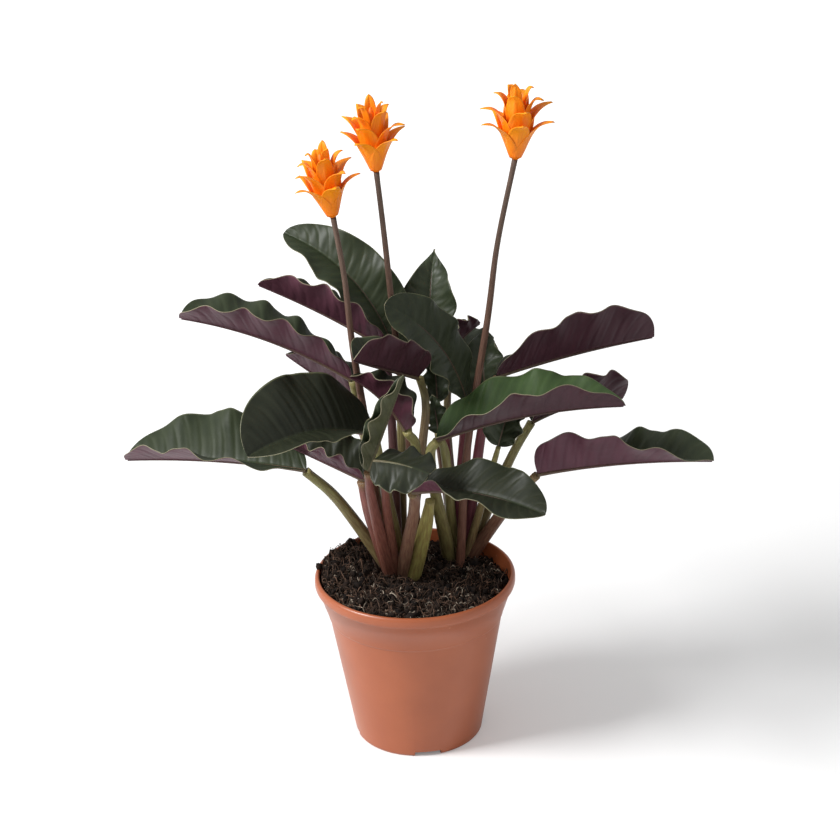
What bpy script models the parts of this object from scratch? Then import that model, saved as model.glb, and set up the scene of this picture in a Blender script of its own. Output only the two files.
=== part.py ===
"""Eternal flame calathea in a thin plastic nursery pot, at real size.

All sizes in this file are in millimetres and become metres when a mesh is made. The pot stands on
z = 0 with its axis on the z axis. The plant faces -y.

Nodes: the pot, the soil in it, two clumps of petioles (the leaves' own stalks, grown from one
crown each), one blade for every leaf, and for each flower a stem and a head of bracts.
"""
import math

import bmesh
import bpy
import numpy as np

MM = 0.001

# Pot
POT_HEIGHT = 105.0
POT_RIM_RADIUS = 60.0
POT_WALL = 1.2
RIM_WALL = 2.9
BEAD_HEIGHT = 7.0
BEAD_OVERHANG = 1.7
STEP_HEIGHT = 80.0
STEP_RADIUS = 52.4
STEP_DEPTH = 0.6
BASE_RADIUS = 38.6
FOOT_ROUNDING = 2.0
FOOT_WALL = 2.4
FLOOR_UNDER = 3.5
FOOT_NOTCHES = 4
NOTCH_WIDTH = 16.0
NOTCH_HEIGHT = 3.0
NOTCH_TURN = 7.7
DRAIN_HOLES = 6
DRAIN_RADIUS = 4.0
DRAIN_CIRCLE = 22.0
POT_SIDES = 36

# Soil
GAP = 0.3
HOLE_GAP = 0.5
SOIL_LEVEL = 97.5
SOIL_RINGS = 6
SOIL_SECTORS = 22

# Stalks
STALK_ROUNDING = 1
CROWN_Z = 80.0
BLADE_GAP = 1.2

# Leaves and bracts
BLADE = 0.8
BRACT = 0.8
HALF_TIP = 0.8


def clear_file():
    for obj in list(bpy.data.objects):
        bpy.data.objects.remove(obj, do_unlink=True)
    for mesh in list(bpy.data.meshes):
        bpy.data.meshes.remove(mesh)


clear_file()
plant = bpy.data.collections.new("eternal_flame_calathea")
cutters = bpy.data.collections.new("cutters")
bpy.context.scene.collection.children.link(plant)
bpy.context.scene.collection.children.link(cutters)


def material(name, colour, roughness):
    mat = bpy.data.materials.new(name)
    mat.use_nodes = True
    shader = mat.node_tree.nodes["Principled BSDF"]
    shader.inputs["Base Color"].default_value = (*colour, 1.0)
    shader.inputs["Roughness"].default_value = roughness
    return mat


def mesh_object(name, points, faces, collection=plant):
    """An object at the origin from points in millimetres."""
    mesh = bpy.data.meshes.new(name)
    mesh.from_pydata([tuple(MM * c for c in p) for p in points], [], [tuple(f) for f in faces])
    mesh.validate()
    obj = bpy.data.objects.new(name, mesh)
    collection.objects.link(obj)
    return obj


def as_cutter(obj):
    for owner in list(obj.users_collection):
        owner.objects.unlink(obj)
    cutters.objects.link(obj)
    obj.hide_render = True
    obj.display_type = "WIRE"
    return obj


def bake(obj):
    """Turns the modifiers of an object into its mesh."""
    graph = bpy.context.evaluated_depsgraph_get()
    mesh = bpy.data.meshes.new_from_object(obj.evaluated_get(graph), depsgraph=graph)
    old = obj.data
    obj.modifiers.clear()
    obj.data = mesh
    bpy.data.meshes.remove(old)
    mesh.name = obj.name


def smooth(obj, angle):
    """Shades an object smooth, with edges sharper than the angle kept crisp."""
    bm = bmesh.new()
    bm.from_mesh(obj.data)
    for face in bm.faces:
        face.smooth = True
    for edge in bm.edges:
        edge.smooth = len(edge.link_faces) == 2 and edge.calc_face_angle(0.0) < math.radians(angle)
    bm.to_mesh(obj.data)
    bm.free()


def finish(obj, mat, angle=50.0):
    obj.data.materials.clear()
    obj.data.materials.append(mat)
    smooth(obj, angle)
    return obj


def boolean(obj, other, operation, solver="EXACT"):
    mod = obj.modifiers.new(operation.lower(), "BOOLEAN")
    mod.operation = operation
    mod.solver = solver
    if isinstance(other, bpy.types.Collection):
        mod.operand_type = "COLLECTION"
        mod.collection = other
    else:
        mod.object = other
    bake(obj)


def union(name, pieces, solver="EXACT"):
    """Joins the first piece with the rest by one Boolean on a collection of them."""
    body = pieces[0]
    others = bpy.data.collections.new(name + "_pieces")
    bpy.context.scene.collection.children.link(others)
    for piece in pieces[1:]:
        for owner in list(piece.users_collection):
            owner.objects.unlink(piece)
        others.objects.link(piece)
    boolean(body, others, "UNION", solver)
    for piece in list(others.objects):
        bpy.data.objects.remove(piece, do_unlink=True)
    bpy.data.collections.remove(others)
    body.name = name
    body.data.name = name
    return body


def smooth_path(points, per_span):
    """Points along a path that runs smoothly through the given ones (Catmull-Rom)."""
    p = np.array(points, float)
    p = np.vstack([2 * p[0] - p[1], p, 2 * p[-1] - p[-2]])
    out = []
    for k in range(1, len(p) - 2):
        a, b, c, d = p[k - 1:k + 3]
        for step in range(per_span):
            t = step / per_span
            out.append(0.5 * (2 * b + (c - a) * t + (2 * a - 5 * b + 4 * c - d) * t * t
                              + (3 * b - a - 3 * c + d) * t ** 3))
    out.append(p[-2])
    return np.array(out)


def rod(name, points, radii, grow=0.0, per_span=4, collection=plant):
    """A round stalk: a curve with a full bevel and filled ends, made into a mesh.

    With grow, the stalk is thicker and its lower end longer by that much, as a cutter for its hole.
    """
    path = smooth_path(points, per_span)
    path[-1] += grow * (path[-1] - path[-2]) / np.linalg.norm(path[-1] - path[-2])
    along = np.linspace(0.0, 1.0, len(path))
    thick = np.interp(along, np.linspace(0.0, 1.0, len(radii)), radii) + grow
    curve = bpy.data.curves.new(name, "CURVE")
    curve.dimensions = "3D"
    curve.bevel_depth = MM
    curve.bevel_resolution = STALK_ROUNDING
    curve.use_fill_caps = True
    spline = curve.splines.new("POLY")
    spline.points.add(len(path) - 1)
    for knot, p, r in zip(spline.points, path, thick):
        knot.co = (*(MM * p), 1.0)
        knot.radius = r
    temp = bpy.data.objects.new(name + "_curve", curve)
    plant.objects.link(temp)
    graph = bpy.context.evaluated_depsgraph_get()
    mesh = bpy.data.meshes.new_from_object(temp.evaluated_get(graph), depsgraph=graph)
    obj = bpy.data.objects.new(name, mesh)
    obj.matrix_world = temp.matrix_world.copy()
    collection.objects.link(obj)
    bpy.data.objects.remove(temp, do_unlink=True)
    bpy.data.curves.remove(curve)
    bm = bmesh.new()
    bm.from_mesh(mesh)
    bmesh.ops.remove_doubles(bm, verts=bm.verts, dist=1e-6)
    bmesh.ops.recalc_face_normals(bm, faces=bm.faces)
    bm.to_mesh(mesh)
    bm.free()
    return obj


# The pot: a thin moulded wall turned round the axis, with a rounded bead at the rim, a flared
# collar that ends in a small step, a tapered wall, a floor with drain holes and a notched foot.
under_step = STEP_RADIUS - STEP_DEPTH
step_low = STEP_HEIGHT - 0.6
step_high = STEP_HEIGHT + 0.4
wall_slope = (under_step - BASE_RADIUS) / (STEP_HEIGHT - FOOT_ROUNDING)
floor_top = FLOOR_UNDER + POT_WALL
inner_foot = BASE_RADIUS - FOOT_WALL
inner_floor = BASE_RADIUS + wall_slope * (floor_top - FOOT_ROUNDING) - POT_WALL
inner_rim = POT_RIM_RADIUS - RIM_WALL
bead_low = POT_HEIGHT - BEAD_HEIGHT
profile = [
    (0.0, floor_top),
    (inner_floor, floor_top),
    (under_step - POT_WALL, step_low),
    (STEP_RADIUS - POT_WALL, step_high),
    (inner_rim, bead_low),
    (inner_rim + 0.1, POT_HEIGHT - 0.9),
    (inner_rim + 0.9, POT_HEIGHT),
    (POT_RIM_RADIUS - 0.7, POT_HEIGHT - 0.6),
    (POT_RIM_RADIUS, POT_HEIGHT - 2.2),
    (POT_RIM_RADIUS, bead_low + 2.0),
    (POT_RIM_RADIUS - 0.6, bead_low + 0.5),
    (POT_RIM_RADIUS - BEAD_OVERHANG, bead_low),
    (STEP_RADIUS, step_high),
    (under_step, step_low),
    (BASE_RADIUS, FOOT_ROUNDING),
    (BASE_RADIUS - 1.2, 0.0),
    (inner_foot, 0.0),
    (inner_foot, FLOOR_UNDER),
    (0.0, FLOOR_UNDER),
]
pot = mesh_object("pot", [(r, 0.0, z) for r, z in profile], [])
bm = bmesh.new()
bm.from_mesh(pot.data)
bm.verts.ensure_lookup_table()
for k in range(len(profile) - 1):
    bm.edges.new((bm.verts[k], bm.verts[k + 1]))
bm.to_mesh(pot.data)
bm.free()
screw = pot.modifiers.new("turn", "SCREW")
screw.axis = "Z"
screw.steps = POT_SIDES
screw.render_steps = POT_SIDES
screw.use_merge_vertices = True
screw.merge_threshold = 0.00005
bake(pot)


def block(name, size, place, turn):
    """A box cutter of a given size, standing at place and turned about z."""
    bm = bmesh.new()
    bmesh.ops.create_cube(bm, size=1.0)
    c, s = math.cos(turn), math.sin(turn)
    for v in bm.verts:
        x, y, z = (v.co[i] * size[i] for i in range(3))
        v.co = (MM * (place[0] + c * x - s * y), MM * (place[1] + s * x + c * y), MM * (place[2] + z))
    mesh = bpy.data.meshes.new(name)
    bm.to_mesh(mesh)
    bm.free()
    obj = bpy.data.objects.new(name, mesh)
    plant.objects.link(obj)
    return as_cutter(obj)


def peg(name, radius, low, high, place, sides=16):
    """A round cutter standing on end."""
    bm = bmesh.new()
    bmesh.ops.create_cone(bm, cap_ends=True, segments=sides, radius1=MM * radius, radius2=MM * radius,
                          depth=MM * (high - low))
    bmesh.ops.translate(bm, verts=bm.verts, vec=(MM * place[0], MM * place[1], MM * (low + high) / 2))
    mesh = bpy.data.meshes.new(name)
    bm.to_mesh(mesh)
    bm.free()
    obj = bpy.data.objects.new(name, mesh)
    plant.objects.link(obj)
    return as_cutter(obj)


for k in range(FOOT_NOTCHES):
    turn = math.radians(-90.0 + NOTCH_TURN) + k * 2 * math.pi / FOOT_NOTCHES
    spot = (BASE_RADIUS * math.cos(turn), BASE_RADIUS * math.sin(turn), NOTCH_HEIGHT / 2 - 1.0)
    notch = block("notch_%d" % k, (12.0, NOTCH_WIDTH, NOTCH_HEIGHT + 2.0), spot, turn)
    boolean(pot, notch, "DIFFERENCE")
for k in range(DRAIN_HOLES):
    turn = math.radians(30.0) + k * 2 * math.pi / DRAIN_HOLES
    spot = (DRAIN_CIRCLE * math.cos(turn), DRAIN_CIRCLE * math.sin(turn))
    hole = peg("drain_%d" % k, DRAIN_RADIUS, FLOOR_UNDER - 2.0, floor_top + 2.0, spot)
    boolean(pot, hole, "DIFFERENCE")
finish(pot, material("pot_plastic", (0.50, 0.15, 0.075), 0.4), 40.0)


# Petioles: every stalk is listed from its leaf down to the soil, with the radii on the way.
# Below the soil it runs on to the crown that its clump grows from.
LEFT_CROWN = (-9.0, 18.0, CROWN_Z)
RIGHT_CROWN = (24.0, 31.0, CROWN_Z)
LEFT_STALKS = [
    ([(-62, 0, 173), (-43, 5, 150), (-15, 14, 99)], (2.8, 3.4, 4.6, 3.0)),
    ([(-21, -5, 197), (-16, 2, 159), (-8, 14, 100)], (2.6, 3.2, 4.6, 3.0)),
    ([(-33, 16, 223), (-27, 24, 181), (-13, 30, 96)], (2.4, 2.8, 3.6, 3.0)),
    ([(-13, 16, 243), (-11, 26, 186), (-10, 30, 96)], (2.4, 2.8, 3.6, 3.0)),
    ([(-5, 49, 210), (-6, 38, 174), (-8, 32, 96)], (2.4, 2.8, 3.6, 3.0)),
    ([(6, 1, 230), (9, 7, 212), (7, 9, 188), (-5, 20, 98)], (2.2, 2.4, 2.6, 3.6, 3.0)),
    ([(0, -38, 175), (1, -30, 162), (-8, 8, 99)], (2.6, 3.2, 4.4, 3.0)),
    ([(-25, -46, 193), (-23, -30, 165), (-14, 8, 98)], (2.0, 3.0, 4.4, 3.0)),
    ([(-20, -55, 204), (-16, -45, 188), (-15, -24, 157), (-11, 9, 98)], (1.5, 2.2, 3.2, 3.0)),
    ([(-29, -5, 168), (-24, 0, 143), (-13, 10, 98)], (3.2, 5.0, 6.0, 3.0)),
    ([(-36, 45, 198), (-25, 36, 163), (-13, 28, 97)], (2.0, 2.4, 3.4, 3.0)),
    ([(-2, -16, 204), (3, -6, 183), (-4, 14, 102)], (2.6, 2.8, 3.6, 3.0)),
    ([(10, -21, 162), (7, -11, 140), (-1, 7, 99)], (2.6, 4.2, 4.6, 3.0)),
]
RIGHT_STALKS = [
    ([(15, -15, 197), (11, -12, 188), (13, -2, 160), (21, 30, 101)], (2.6, 3.0, 3.2, 4.5, 3.0)),
    ([(33, 25, 204), (31, 32, 176), (25, 37, 100)], (2.6, 2.6, 3.6, 3.0)),
    ([(16, 15, 188), (20, 16, 174), (22, 24, 140), (24, 34, 100)], (2.0, 2.8, 3.0, 3.6, 3.0)),
    ([(51, 22, 220), (42, 26, 185), (31, 34, 100)], (2.6, 3.0, 3.8, 3.0)),
    ([(73, 5, 164), (59, 16, 143), (35, 33, 99)], (2.6, 3.5, 4.6, 3.0)),
    ([(71, 25, 189), (58, 30, 162), (33, 36, 99)], (2.6, 3.0, 4.4, 3.0)),
    ([(51, 5, 183), (48, 14, 167), (32, 32, 100)], (1.4, 1.8, 3.0, 2.8)),
    ([(46, 40, 194), (40, 42, 164), (30, 39, 99)], (2.0, 2.4, 3.4, 3.0)),
    ([(13, 64, 237), (16, 58, 177), (25, 41, 100)], (2.4, 2.6, 3.6, 3.0)),
    ([(24, 46, 225), (22, 48, 175), (26, 41, 101)], (2.0, 2.4, 3.4, 3.0)),
    ([(16, 26, 203), (21, 31, 177), (24, 36, 101)], (1.8, 2.2, 3.2, 3.0)),
    ([(36, 67, 199), (34, 58, 160), (28, 42, 100)], (2.0, 2.4, 3.4, 3.0)),
]


def clump(name, stalks, crown, grow=0.0):
    rods = []
    for k, (points, radii) in enumerate(stalks):
        top, below = np.array(points[0], float), np.array(points[1], float)
        first = top + BLADE_GAP * (below - top) / np.linalg.norm(below - top)
        path = [first] + [np.array(p, float) for p in points[1:]] + [np.array(crown)]
        rods.append(rod("%s_%d" % (name, k), path, radii, grow, 2))
    return union(name, rods)


stalk_green = material("petiole", (0.22, 0.16, 0.06), 0.5)
clumps = [("petioles_left", LEFT_STALKS, LEFT_CROWN), ("petioles_right", RIGHT_STALKS, RIGHT_CROWN)]
for name, stalks, crown in clumps:
    finish(clump(name, stalks, crown), stalk_green.copy(), 60.0)


# Flower stems: slender, from the foot of each head down into the soil.
STEMS = {
    "flower_stem_left": [(-40, 0, 329), (-35, -4, 295), (-32, 0, 252), (-26, 13, 192), (-19, 25, 98),
                         (-19, 26, 86)],
    "flower_stem_middle": [(-15, 0, 355), (-12, 5, 318), (-7, 18, 245), (-2, 20, 195), (3, 28, 98),
                           (4, 30, 86)],
    "flower_stem_right": [(62, 0, 360), (52, 10, 307), (46, 16, 259), (33, 20, 175), (28, 24, 104),
                          (27, 23, 88)],
}
STEM_RADII = (1.8, 2.0, 2.3, 2.6, 2.8, 2.8)
stem_brown = material("flower_stem", (0.23, 0.11, 0.06), 0.5)
for name, points in STEMS.items():
    finish(rod(name, points, STEM_RADII, 0.0, 2), stem_brown.copy(), 60.0)


# Soil: fills the pot up to a rough top that is heaped at the left, with a plain hole round every
# stalk and stem that stands in it.
def soil_top(x, y):
    """Height of the soil: a slope down to the right, a heap at the left, and crumbs."""
    heap = 7.5 * np.exp(-((x + 42.0) ** 2 + (y - 18.0) ** 2) / 24.0 ** 2)
    crumbs = (1.0 * np.sin(0.31 * x + 0.17 * y + 1.0) * np.sin(0.27 * y - 0.11 * x)
              + 0.7 * np.sin(0.61 * x - 0.35 * y) * np.sin(0.52 * y + 0.44 * x + 2.0))
    return SOIL_LEVEL - 0.045 * x + heap + crumbs


def inner_radius(z):
    """Radius of the pot's inside at height z."""
    heights = [floor_top, step_low, step_high, bead_low, POT_HEIGHT]
    radii = [inner_floor, under_step - POT_WALL, STEP_RADIUS - POT_WALL, inner_rim, inner_rim + 0.1]
    return np.interp(z, heights, radii)


angles = np.arange(SOIL_SECTORS) * 2 * math.pi / SOIL_SECTORS
points = [(0.0, 0.0, float(soil_top(0.0, 0.0)))]
for ring in range(1, SOIL_RINGS + 1):
    for a in angles:
        reach = inner_radius(95.0) - GAP - 0.5
        x, y = reach * ring / SOIL_RINGS * math.cos(a), reach * ring / SOIL_RINGS * math.sin(a)
        z = float(soil_top(x, y))
        if ring == SOIL_RINGS:
            side = float(inner_radius(z)) * math.cos(math.pi / POT_SIDES) - GAP
            x, y = side * math.cos(a), side * math.sin(a)
        points.append((x, y, z))
for z in (step_low, floor_top + GAP):
    side = float(inner_radius(z)) * math.cos(math.pi / POT_SIDES) - GAP
    points += [(side * math.cos(a), side * math.sin(a), z) for a in angles]
points.append((0.0, 0.0, floor_top + GAP))
faces = []
for k in range(SOIL_SECTORS):
    n = (k + 1) % SOIL_SECTORS
    faces.append((0, 1 + k, 1 + n))
    for ring in range(SOIL_RINGS + 1):
        a, b = 1 + ring * SOIL_SECTORS, 1 + (ring + 1) * SOIL_SECTORS
        faces += [(a + k, b + k, b + n), (a + k, b + n, a + n)]
    last = 1 + (SOIL_RINGS + 1) * SOIL_SECTORS
    faces.append((len(points) - 1, last + n, last + k))
soil = mesh_object("soil", points, faces)
for name, stalks, crown in clumps:
    cutter = clump(name + "_hole", stalks, crown, HOLE_GAP)
    boolean(soil, as_cutter(cutter), "DIFFERENCE")
for name, path in STEMS.items():
    cutter = rod(name + "_hole", path, STEM_RADII, HOLE_GAP, 2)
    boolean(soil, as_cutter(cutter), "DIFFERENCE")


def keep_largest(obj):
    """Drops the slivers that a cut or a union leaves beside the body."""
    bm = bmesh.new()
    bm.from_mesh(obj.data)
    left = set(bm.verts)
    bodies = []
    while left:
        body, edge = set(), [left.pop()]
        while edge:
            vert = edge.pop()
            body.add(vert)
            for link in vert.link_edges:
                other = link.other_vert(vert)
                if other in left:
                    left.discard(other)
                    edge.append(other)
        bodies.append(body)
    bodies.sort(key=len)
    for body in bodies[:-1]:
        bmesh.ops.delete(bm, geom=list(body), context="VERTS")
    bm.to_mesh(obj.data)
    bm.free()


keep_largest(soil)
finish(soil, material("soil", (0.030, 0.018, 0.012), 0.95), 30.0)


# Leaf blades. Each blade is a sheet laid along its midrib: an arched line from base to tip. Its
# two halves rise from the midrib at their own fold, bend on by their curl, and are waved at the
# margin. Angles are in degrees; where a pair is given for a half it runs from base to tip.
def pair(value):
    return value if isinstance(value, tuple) else (value, value)


def blade_grid(base, tip, arch, width, folds, nu, nv, outline=(0.55, 0.85), curl=(0, 0), roll=(0, 0),
               wave=(2.5, 2.5), waves=(4, 4), heading=None, spread=(1.0, 1.0)):
    """Points of a blade, as rows along it and columns across it.

    Midrib: chord + arch * 4 u (1 - u) upwards. Half width: w u^p (1 - u)^q, scaled to peak at
    width / 2 times the half's spread. Across, a half is an arc that starts at its fold and turns by its curl. The wave adds
    a sin(2 pi (n u + phase)) |v|^2.2 square to the half.
    """
    u = (1.0 - np.cos(np.linspace(0.0, math.pi, nu + 1))) / 2.0
    v = np.linspace(-1.0, 1.0, nv + 1)
    base, tip = np.array(base, float), np.array(tip, float)
    chord = tip - base
    flat = np.array([chord[0], chord[1], 0.0])
    if heading is not None:
        flat = np.array([math.cos(math.radians(heading)), math.sin(math.radians(heading)), 0.0])
    flat = flat / np.linalg.norm(flat)
    side = np.array([flat[1], -flat[0], 0.0])
    up = np.cross(side, chord / np.linalg.norm(chord))
    up = up / np.linalg.norm(up)
    hump = 4.0 * u * (1.0 - u)
    mid = base + np.outer(u, chord) + np.outer(hump * arch, up)
    along = chord + np.outer(4.0 * (1.0 - 2.0 * u) * arch, up)
    along = along / np.linalg.norm(along, axis=1, keepdims=True)
    across = side - along * (along @ side)[:, None]
    across = across / np.linalg.norm(across, axis=1, keepdims=True)
    normal = np.cross(across, along)
    turn = np.radians(roll[0] + (roll[1] - roll[0]) * u)[:, None]
    across, normal = (across * np.cos(turn) + normal * np.sin(turn),
                      normal * np.cos(turn) - across * np.sin(turn))
    p, q = outline
    peak = p / (p + q)
    half = width / 2 * (u / peak) ** p * ((1.0 - u) / (1.0 - peak)) ** q
    half = np.maximum(half, HALF_TIP)[:, None]
    uu, vv = u[:, None], v[None, :]
    reach = np.abs(vv)
    grid = np.zeros((nu + 1, nv + 1, 3))
    for k, sign in ((0, -1.0), (1, 1.0)):
        f0, f1 = pair(folds[k])
        c0, c1 = pair(curl[k])
        start = np.radians(f0 + (f1 - f0) * uu) + 0.0 * vv
        bend = np.radians(c0 + (c1 - c0) * uu) + 1e-6
        end = start + bend * reach
        out = (np.sin(end) - np.sin(start)) / bend * half * spread[k]
        lift = (np.cos(start) - np.cos(end)) / bend * half * spread[k]
        ripple = (wave[k] * np.sin(2.0 * math.pi * (waves[k] * uu + 0.3 * k)) * reach ** 2.2
                  * np.sqrt(np.sin(math.pi * uu).clip(0.0)))
        out = out - np.sin(end) * ripple
        lift = lift + np.cos(end) * ripple
        sheet = mid[:, None] + sign * out[..., None] * across[:, None] + lift[..., None] * normal[:, None]
        mine = sign * v >= 0.0
        grid[:, mine] = sheet[:, mine]
    return grid


LEAVES = {
    "low_left": dict(base=(-62, 0, 174), tip=(-171, 30, 170), arch=3, width=72,
                     folds=((18, 42), (38, 34)), curl=(0, -10), outline=(0.6, 0.6)),
    "front_left": dict(base=(-22, -5, 198), tip=(-91, -60, 211), arch=8, width=72,
                       folds=((10, 16), (60, 60)), spread=(0.88, 1.0), curl=(0, -10), outline=(0.5, 0.48), wave=(1.5, 2.0),
                       waves=(3, 3)),
    "long_left": dict(base=(-34, 16, 224), tip=(-133, 30, 260), arch=6, width=58,
                      folds=((58, 40), (12, 26)), curl=(0, -5), outline=(0.6, 0.42), waves=(5, 5)),
    "upper_left": dict(base=(-14, 16, 244), tip=(-86, 26, 281), arch=2, width=54,
                       folds=((50, 55), (12, 18)), outline=(0.6, 0.6), spread=(1.0, 0.75)),
    "tall_left": dict(base=(-5, 49, 211), tip=(-73, 88, 290), arch=18, width=44, folds=(30, 30),
                      roll=(30, 30), outline=(0.6, 0.6)),
    "crest": dict(base=(13, 64, 238), tip=(17, 88, 277), arch=6, width=36, folds=(25, 25),
                  outline=(0.45, 1.3), waves=(2, 2), heading=80),
    "arching": dict(base=(33, 25, 205), tip=(-13, 6, 274), arch=9, width=38, folds=(10, 10),
                    roll=(45, 60), outline=(0.5, 0.5)),
    "cup": dict(base=(5, 0, 231), tip=(-24, -31, 255), arch=0, width=44, folds=((60, 66), (80, 50)),
                outline=(0.18, 0.16), waves=(3, 3), spread=(1.0, 0.6)),
    "upper_right": dict(base=(51, 22, 221), tip=(146, 50, 232), arch=2, width=62, folds=(8, 70),
                        outline=(0.6, 0.42)),
    "middle_right": dict(base=(15, -15, 198), tip=(122, -30, 223), arch=5, width=68,
                         folds=(25, (22, 60)), outline=(0.5, 0.7)),
    "low_right": dict(base=(74, 5, 165), tip=(175, -15, 180), arch=3, width=62,
                      folds=((-10, 32), (80, 20)), outline=(0.35, 0.5)),
    "behind_right": dict(base=(72, 25, 190), tip=(128, 55, 190), arch=4, width=54, folds=(10, 60),
                         outline=(0.55, 0.42)),
    "front_right": dict(base=(0, -38, 176), tip=(73, -88, 184), arch=6, width=45,
                        folds=(32, (50, -10)), outline=(0.6, 0.6), waves=(3, 3)),
    "young_curled": dict(base=(-25, -46, 194), tip=(-3, -46, 252), arch=0, width=21, folds=(80, 70),
                         roll=(-20, -20)),
    "young_lobed": dict(base=(-21, -56, 205), tip=(10, -74, 204), arch=2, width=36,
                        folds=(3, -35), outline=(0.3, 0.3), waves=(3, 3)),
    "under_left": dict(base=(-28, -5, 169), tip=(-71, 10, 185), arch=0, width=46, folds=(45, 35)),
    "shade_left": dict(base=(-36, 45, 200), tip=(-74, 60, 223), arch=0, width=46, folds=(60, 20)),
    "back_right": dict(base=(46, 40, 195), tip=(45, 62, 233), arch=6, width=30, folds=(25, 25),
                       heading=75),
    "small_back": dict(base=(24, 46, 226), tip=(43, 62, 239), arch=2, width=32, folds=(10, 70)),
    "small_striped": dict(base=(51, 5, 184), tip=(62, 20, 210), arch=4, width=26, folds=(30, 30),
                          heading=80),
    "inner_narrow": dict(base=(16, 26, 204), tip=(13, 38, 235), arch=4, width=18, folds=(30, 30),
                         heading=100),
    "inner_left": dict(base=(-3, -16, 205), tip=(-34, -6, 235), arch=4, width=44, folds=(60, 20)),
    "inner_small": dict(base=(16, 15, 189), tip=(13, 20, 211), arch=2, width=14, folds=(30, 30),
                        heading=100),
    "back": dict(base=(36, 68, 200), tip=(34, 97, 222), arch=4, width=40, folds=(30, 30), heading=95),
}
SMALL = {"young_curled", "young_lobed", "under_left", "shade_left", "back_right", "small_back",
         "small_striped", "inner_narrow", "inner_left", "inner_small", "back", "crest", "cup"}

leaf_green = material("leaf", (0.035, 0.060, 0.028), 0.45)
for name, shape in LEAVES.items():
    nu, nv = (12, 2) if name in SMALL else (16, 4)
    grid = blade_grid(nu=nu, nv=nv, **shape)
    faces = []
    for i in range(nu):
        for j in range(nv):
            a = i * (nv + 1) + j
            b, c, d = a + 1, a + nv + 2, a + nv + 1
            faces += [(a, b, c), (a, c, d)] if j < nv // 2 else [(a, b, d), (b, c, d)]
    blade = mesh_object("blade_" + name, grid.reshape(-1, 3), faces)
    solid = blade.modifiers.new("thickness", "SOLIDIFY")
    solid.thickness = MM * BLADE
    solid.offset = 0.0
    bake(blade)
    bm = bmesh.new()
    bm.from_mesh(blade.data)
    bmesh.ops.recalc_face_normals(bm, faces=bm.faces)
    bm.to_mesh(blade.data)
    bm.free()
    finish(blade, leaf_green.copy(), 60.0)


# Flower heads: boat-shaped bracts in four tiers clasp a small cone and turn outwards at the tip.
TIERS = [
    dict(count=4, turn=0.0, foot=(3.2, 1.0), side=(7.2, 10.0), bend=(8.4, 22.5), tip=(20.0, 23.0), half=9.5),
    dict(count=4, turn=40.0, foot=(5.0, 8.0), side=(8.2, 19.0), bend=(7.8, 31.0), tip=(19.5, 31.0), half=9.6),
    dict(count=3, turn=15.0, foot=(4.5, 16.0), side=(7.0, 27.0), bend=(6.2, 38.0), tip=(13.0, 37.0), half=7.6),
    dict(count=2, turn=70.0, foot=(3.0, 24.0), side=(5.4, 34.0), bend=(4.4, 42.4), tip=(7.6, 42.0), half=5.2),
]
CORE = [(2.4, 0.0), (6.0, 13.0), (5.0, 24.0), (0.8, 39.0)]


def bract_points(foot, side, bend, tip, half, nu=3, nv=2):
    """A bract towards +x: a cubic midline foot, side, bend, tip, wrapped round z.

    Its half width is half (0.75 + 1.1 t)(1 - t)^0.9."""
    t = np.linspace(0.0, 1.0, nu + 1)[:, None]
    a, b, c, d = (np.array(p, float) for p in (foot, side, bend, tip))
    mid = (1 - t) ** 3 * a + 3 * (1 - t) ** 2 * t * b + 3 * (1 - t) * t * t * c + t ** 3 * d
    w = np.maximum(half * (0.75 + 1.1 * t) * (1.0 - t) ** 0.9, 0.45)
    v = np.linspace(-1.0, 1.0, nv + 1)[None, :]
    hug = np.maximum(mid[:, :1], 3.0) * (1.0 + 0.5 * t)
    angle = v * np.minimum(w / hug, 1.35)
    x = mid[:, :1] + hug * (np.cos(angle) - 1.0)
    y = hug * np.sin(angle)
    z = mid[:, 1:] + 0.0 * v + 0.8 * (v * w / half) ** 2
    return np.stack([x, y, z], -1)


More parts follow.
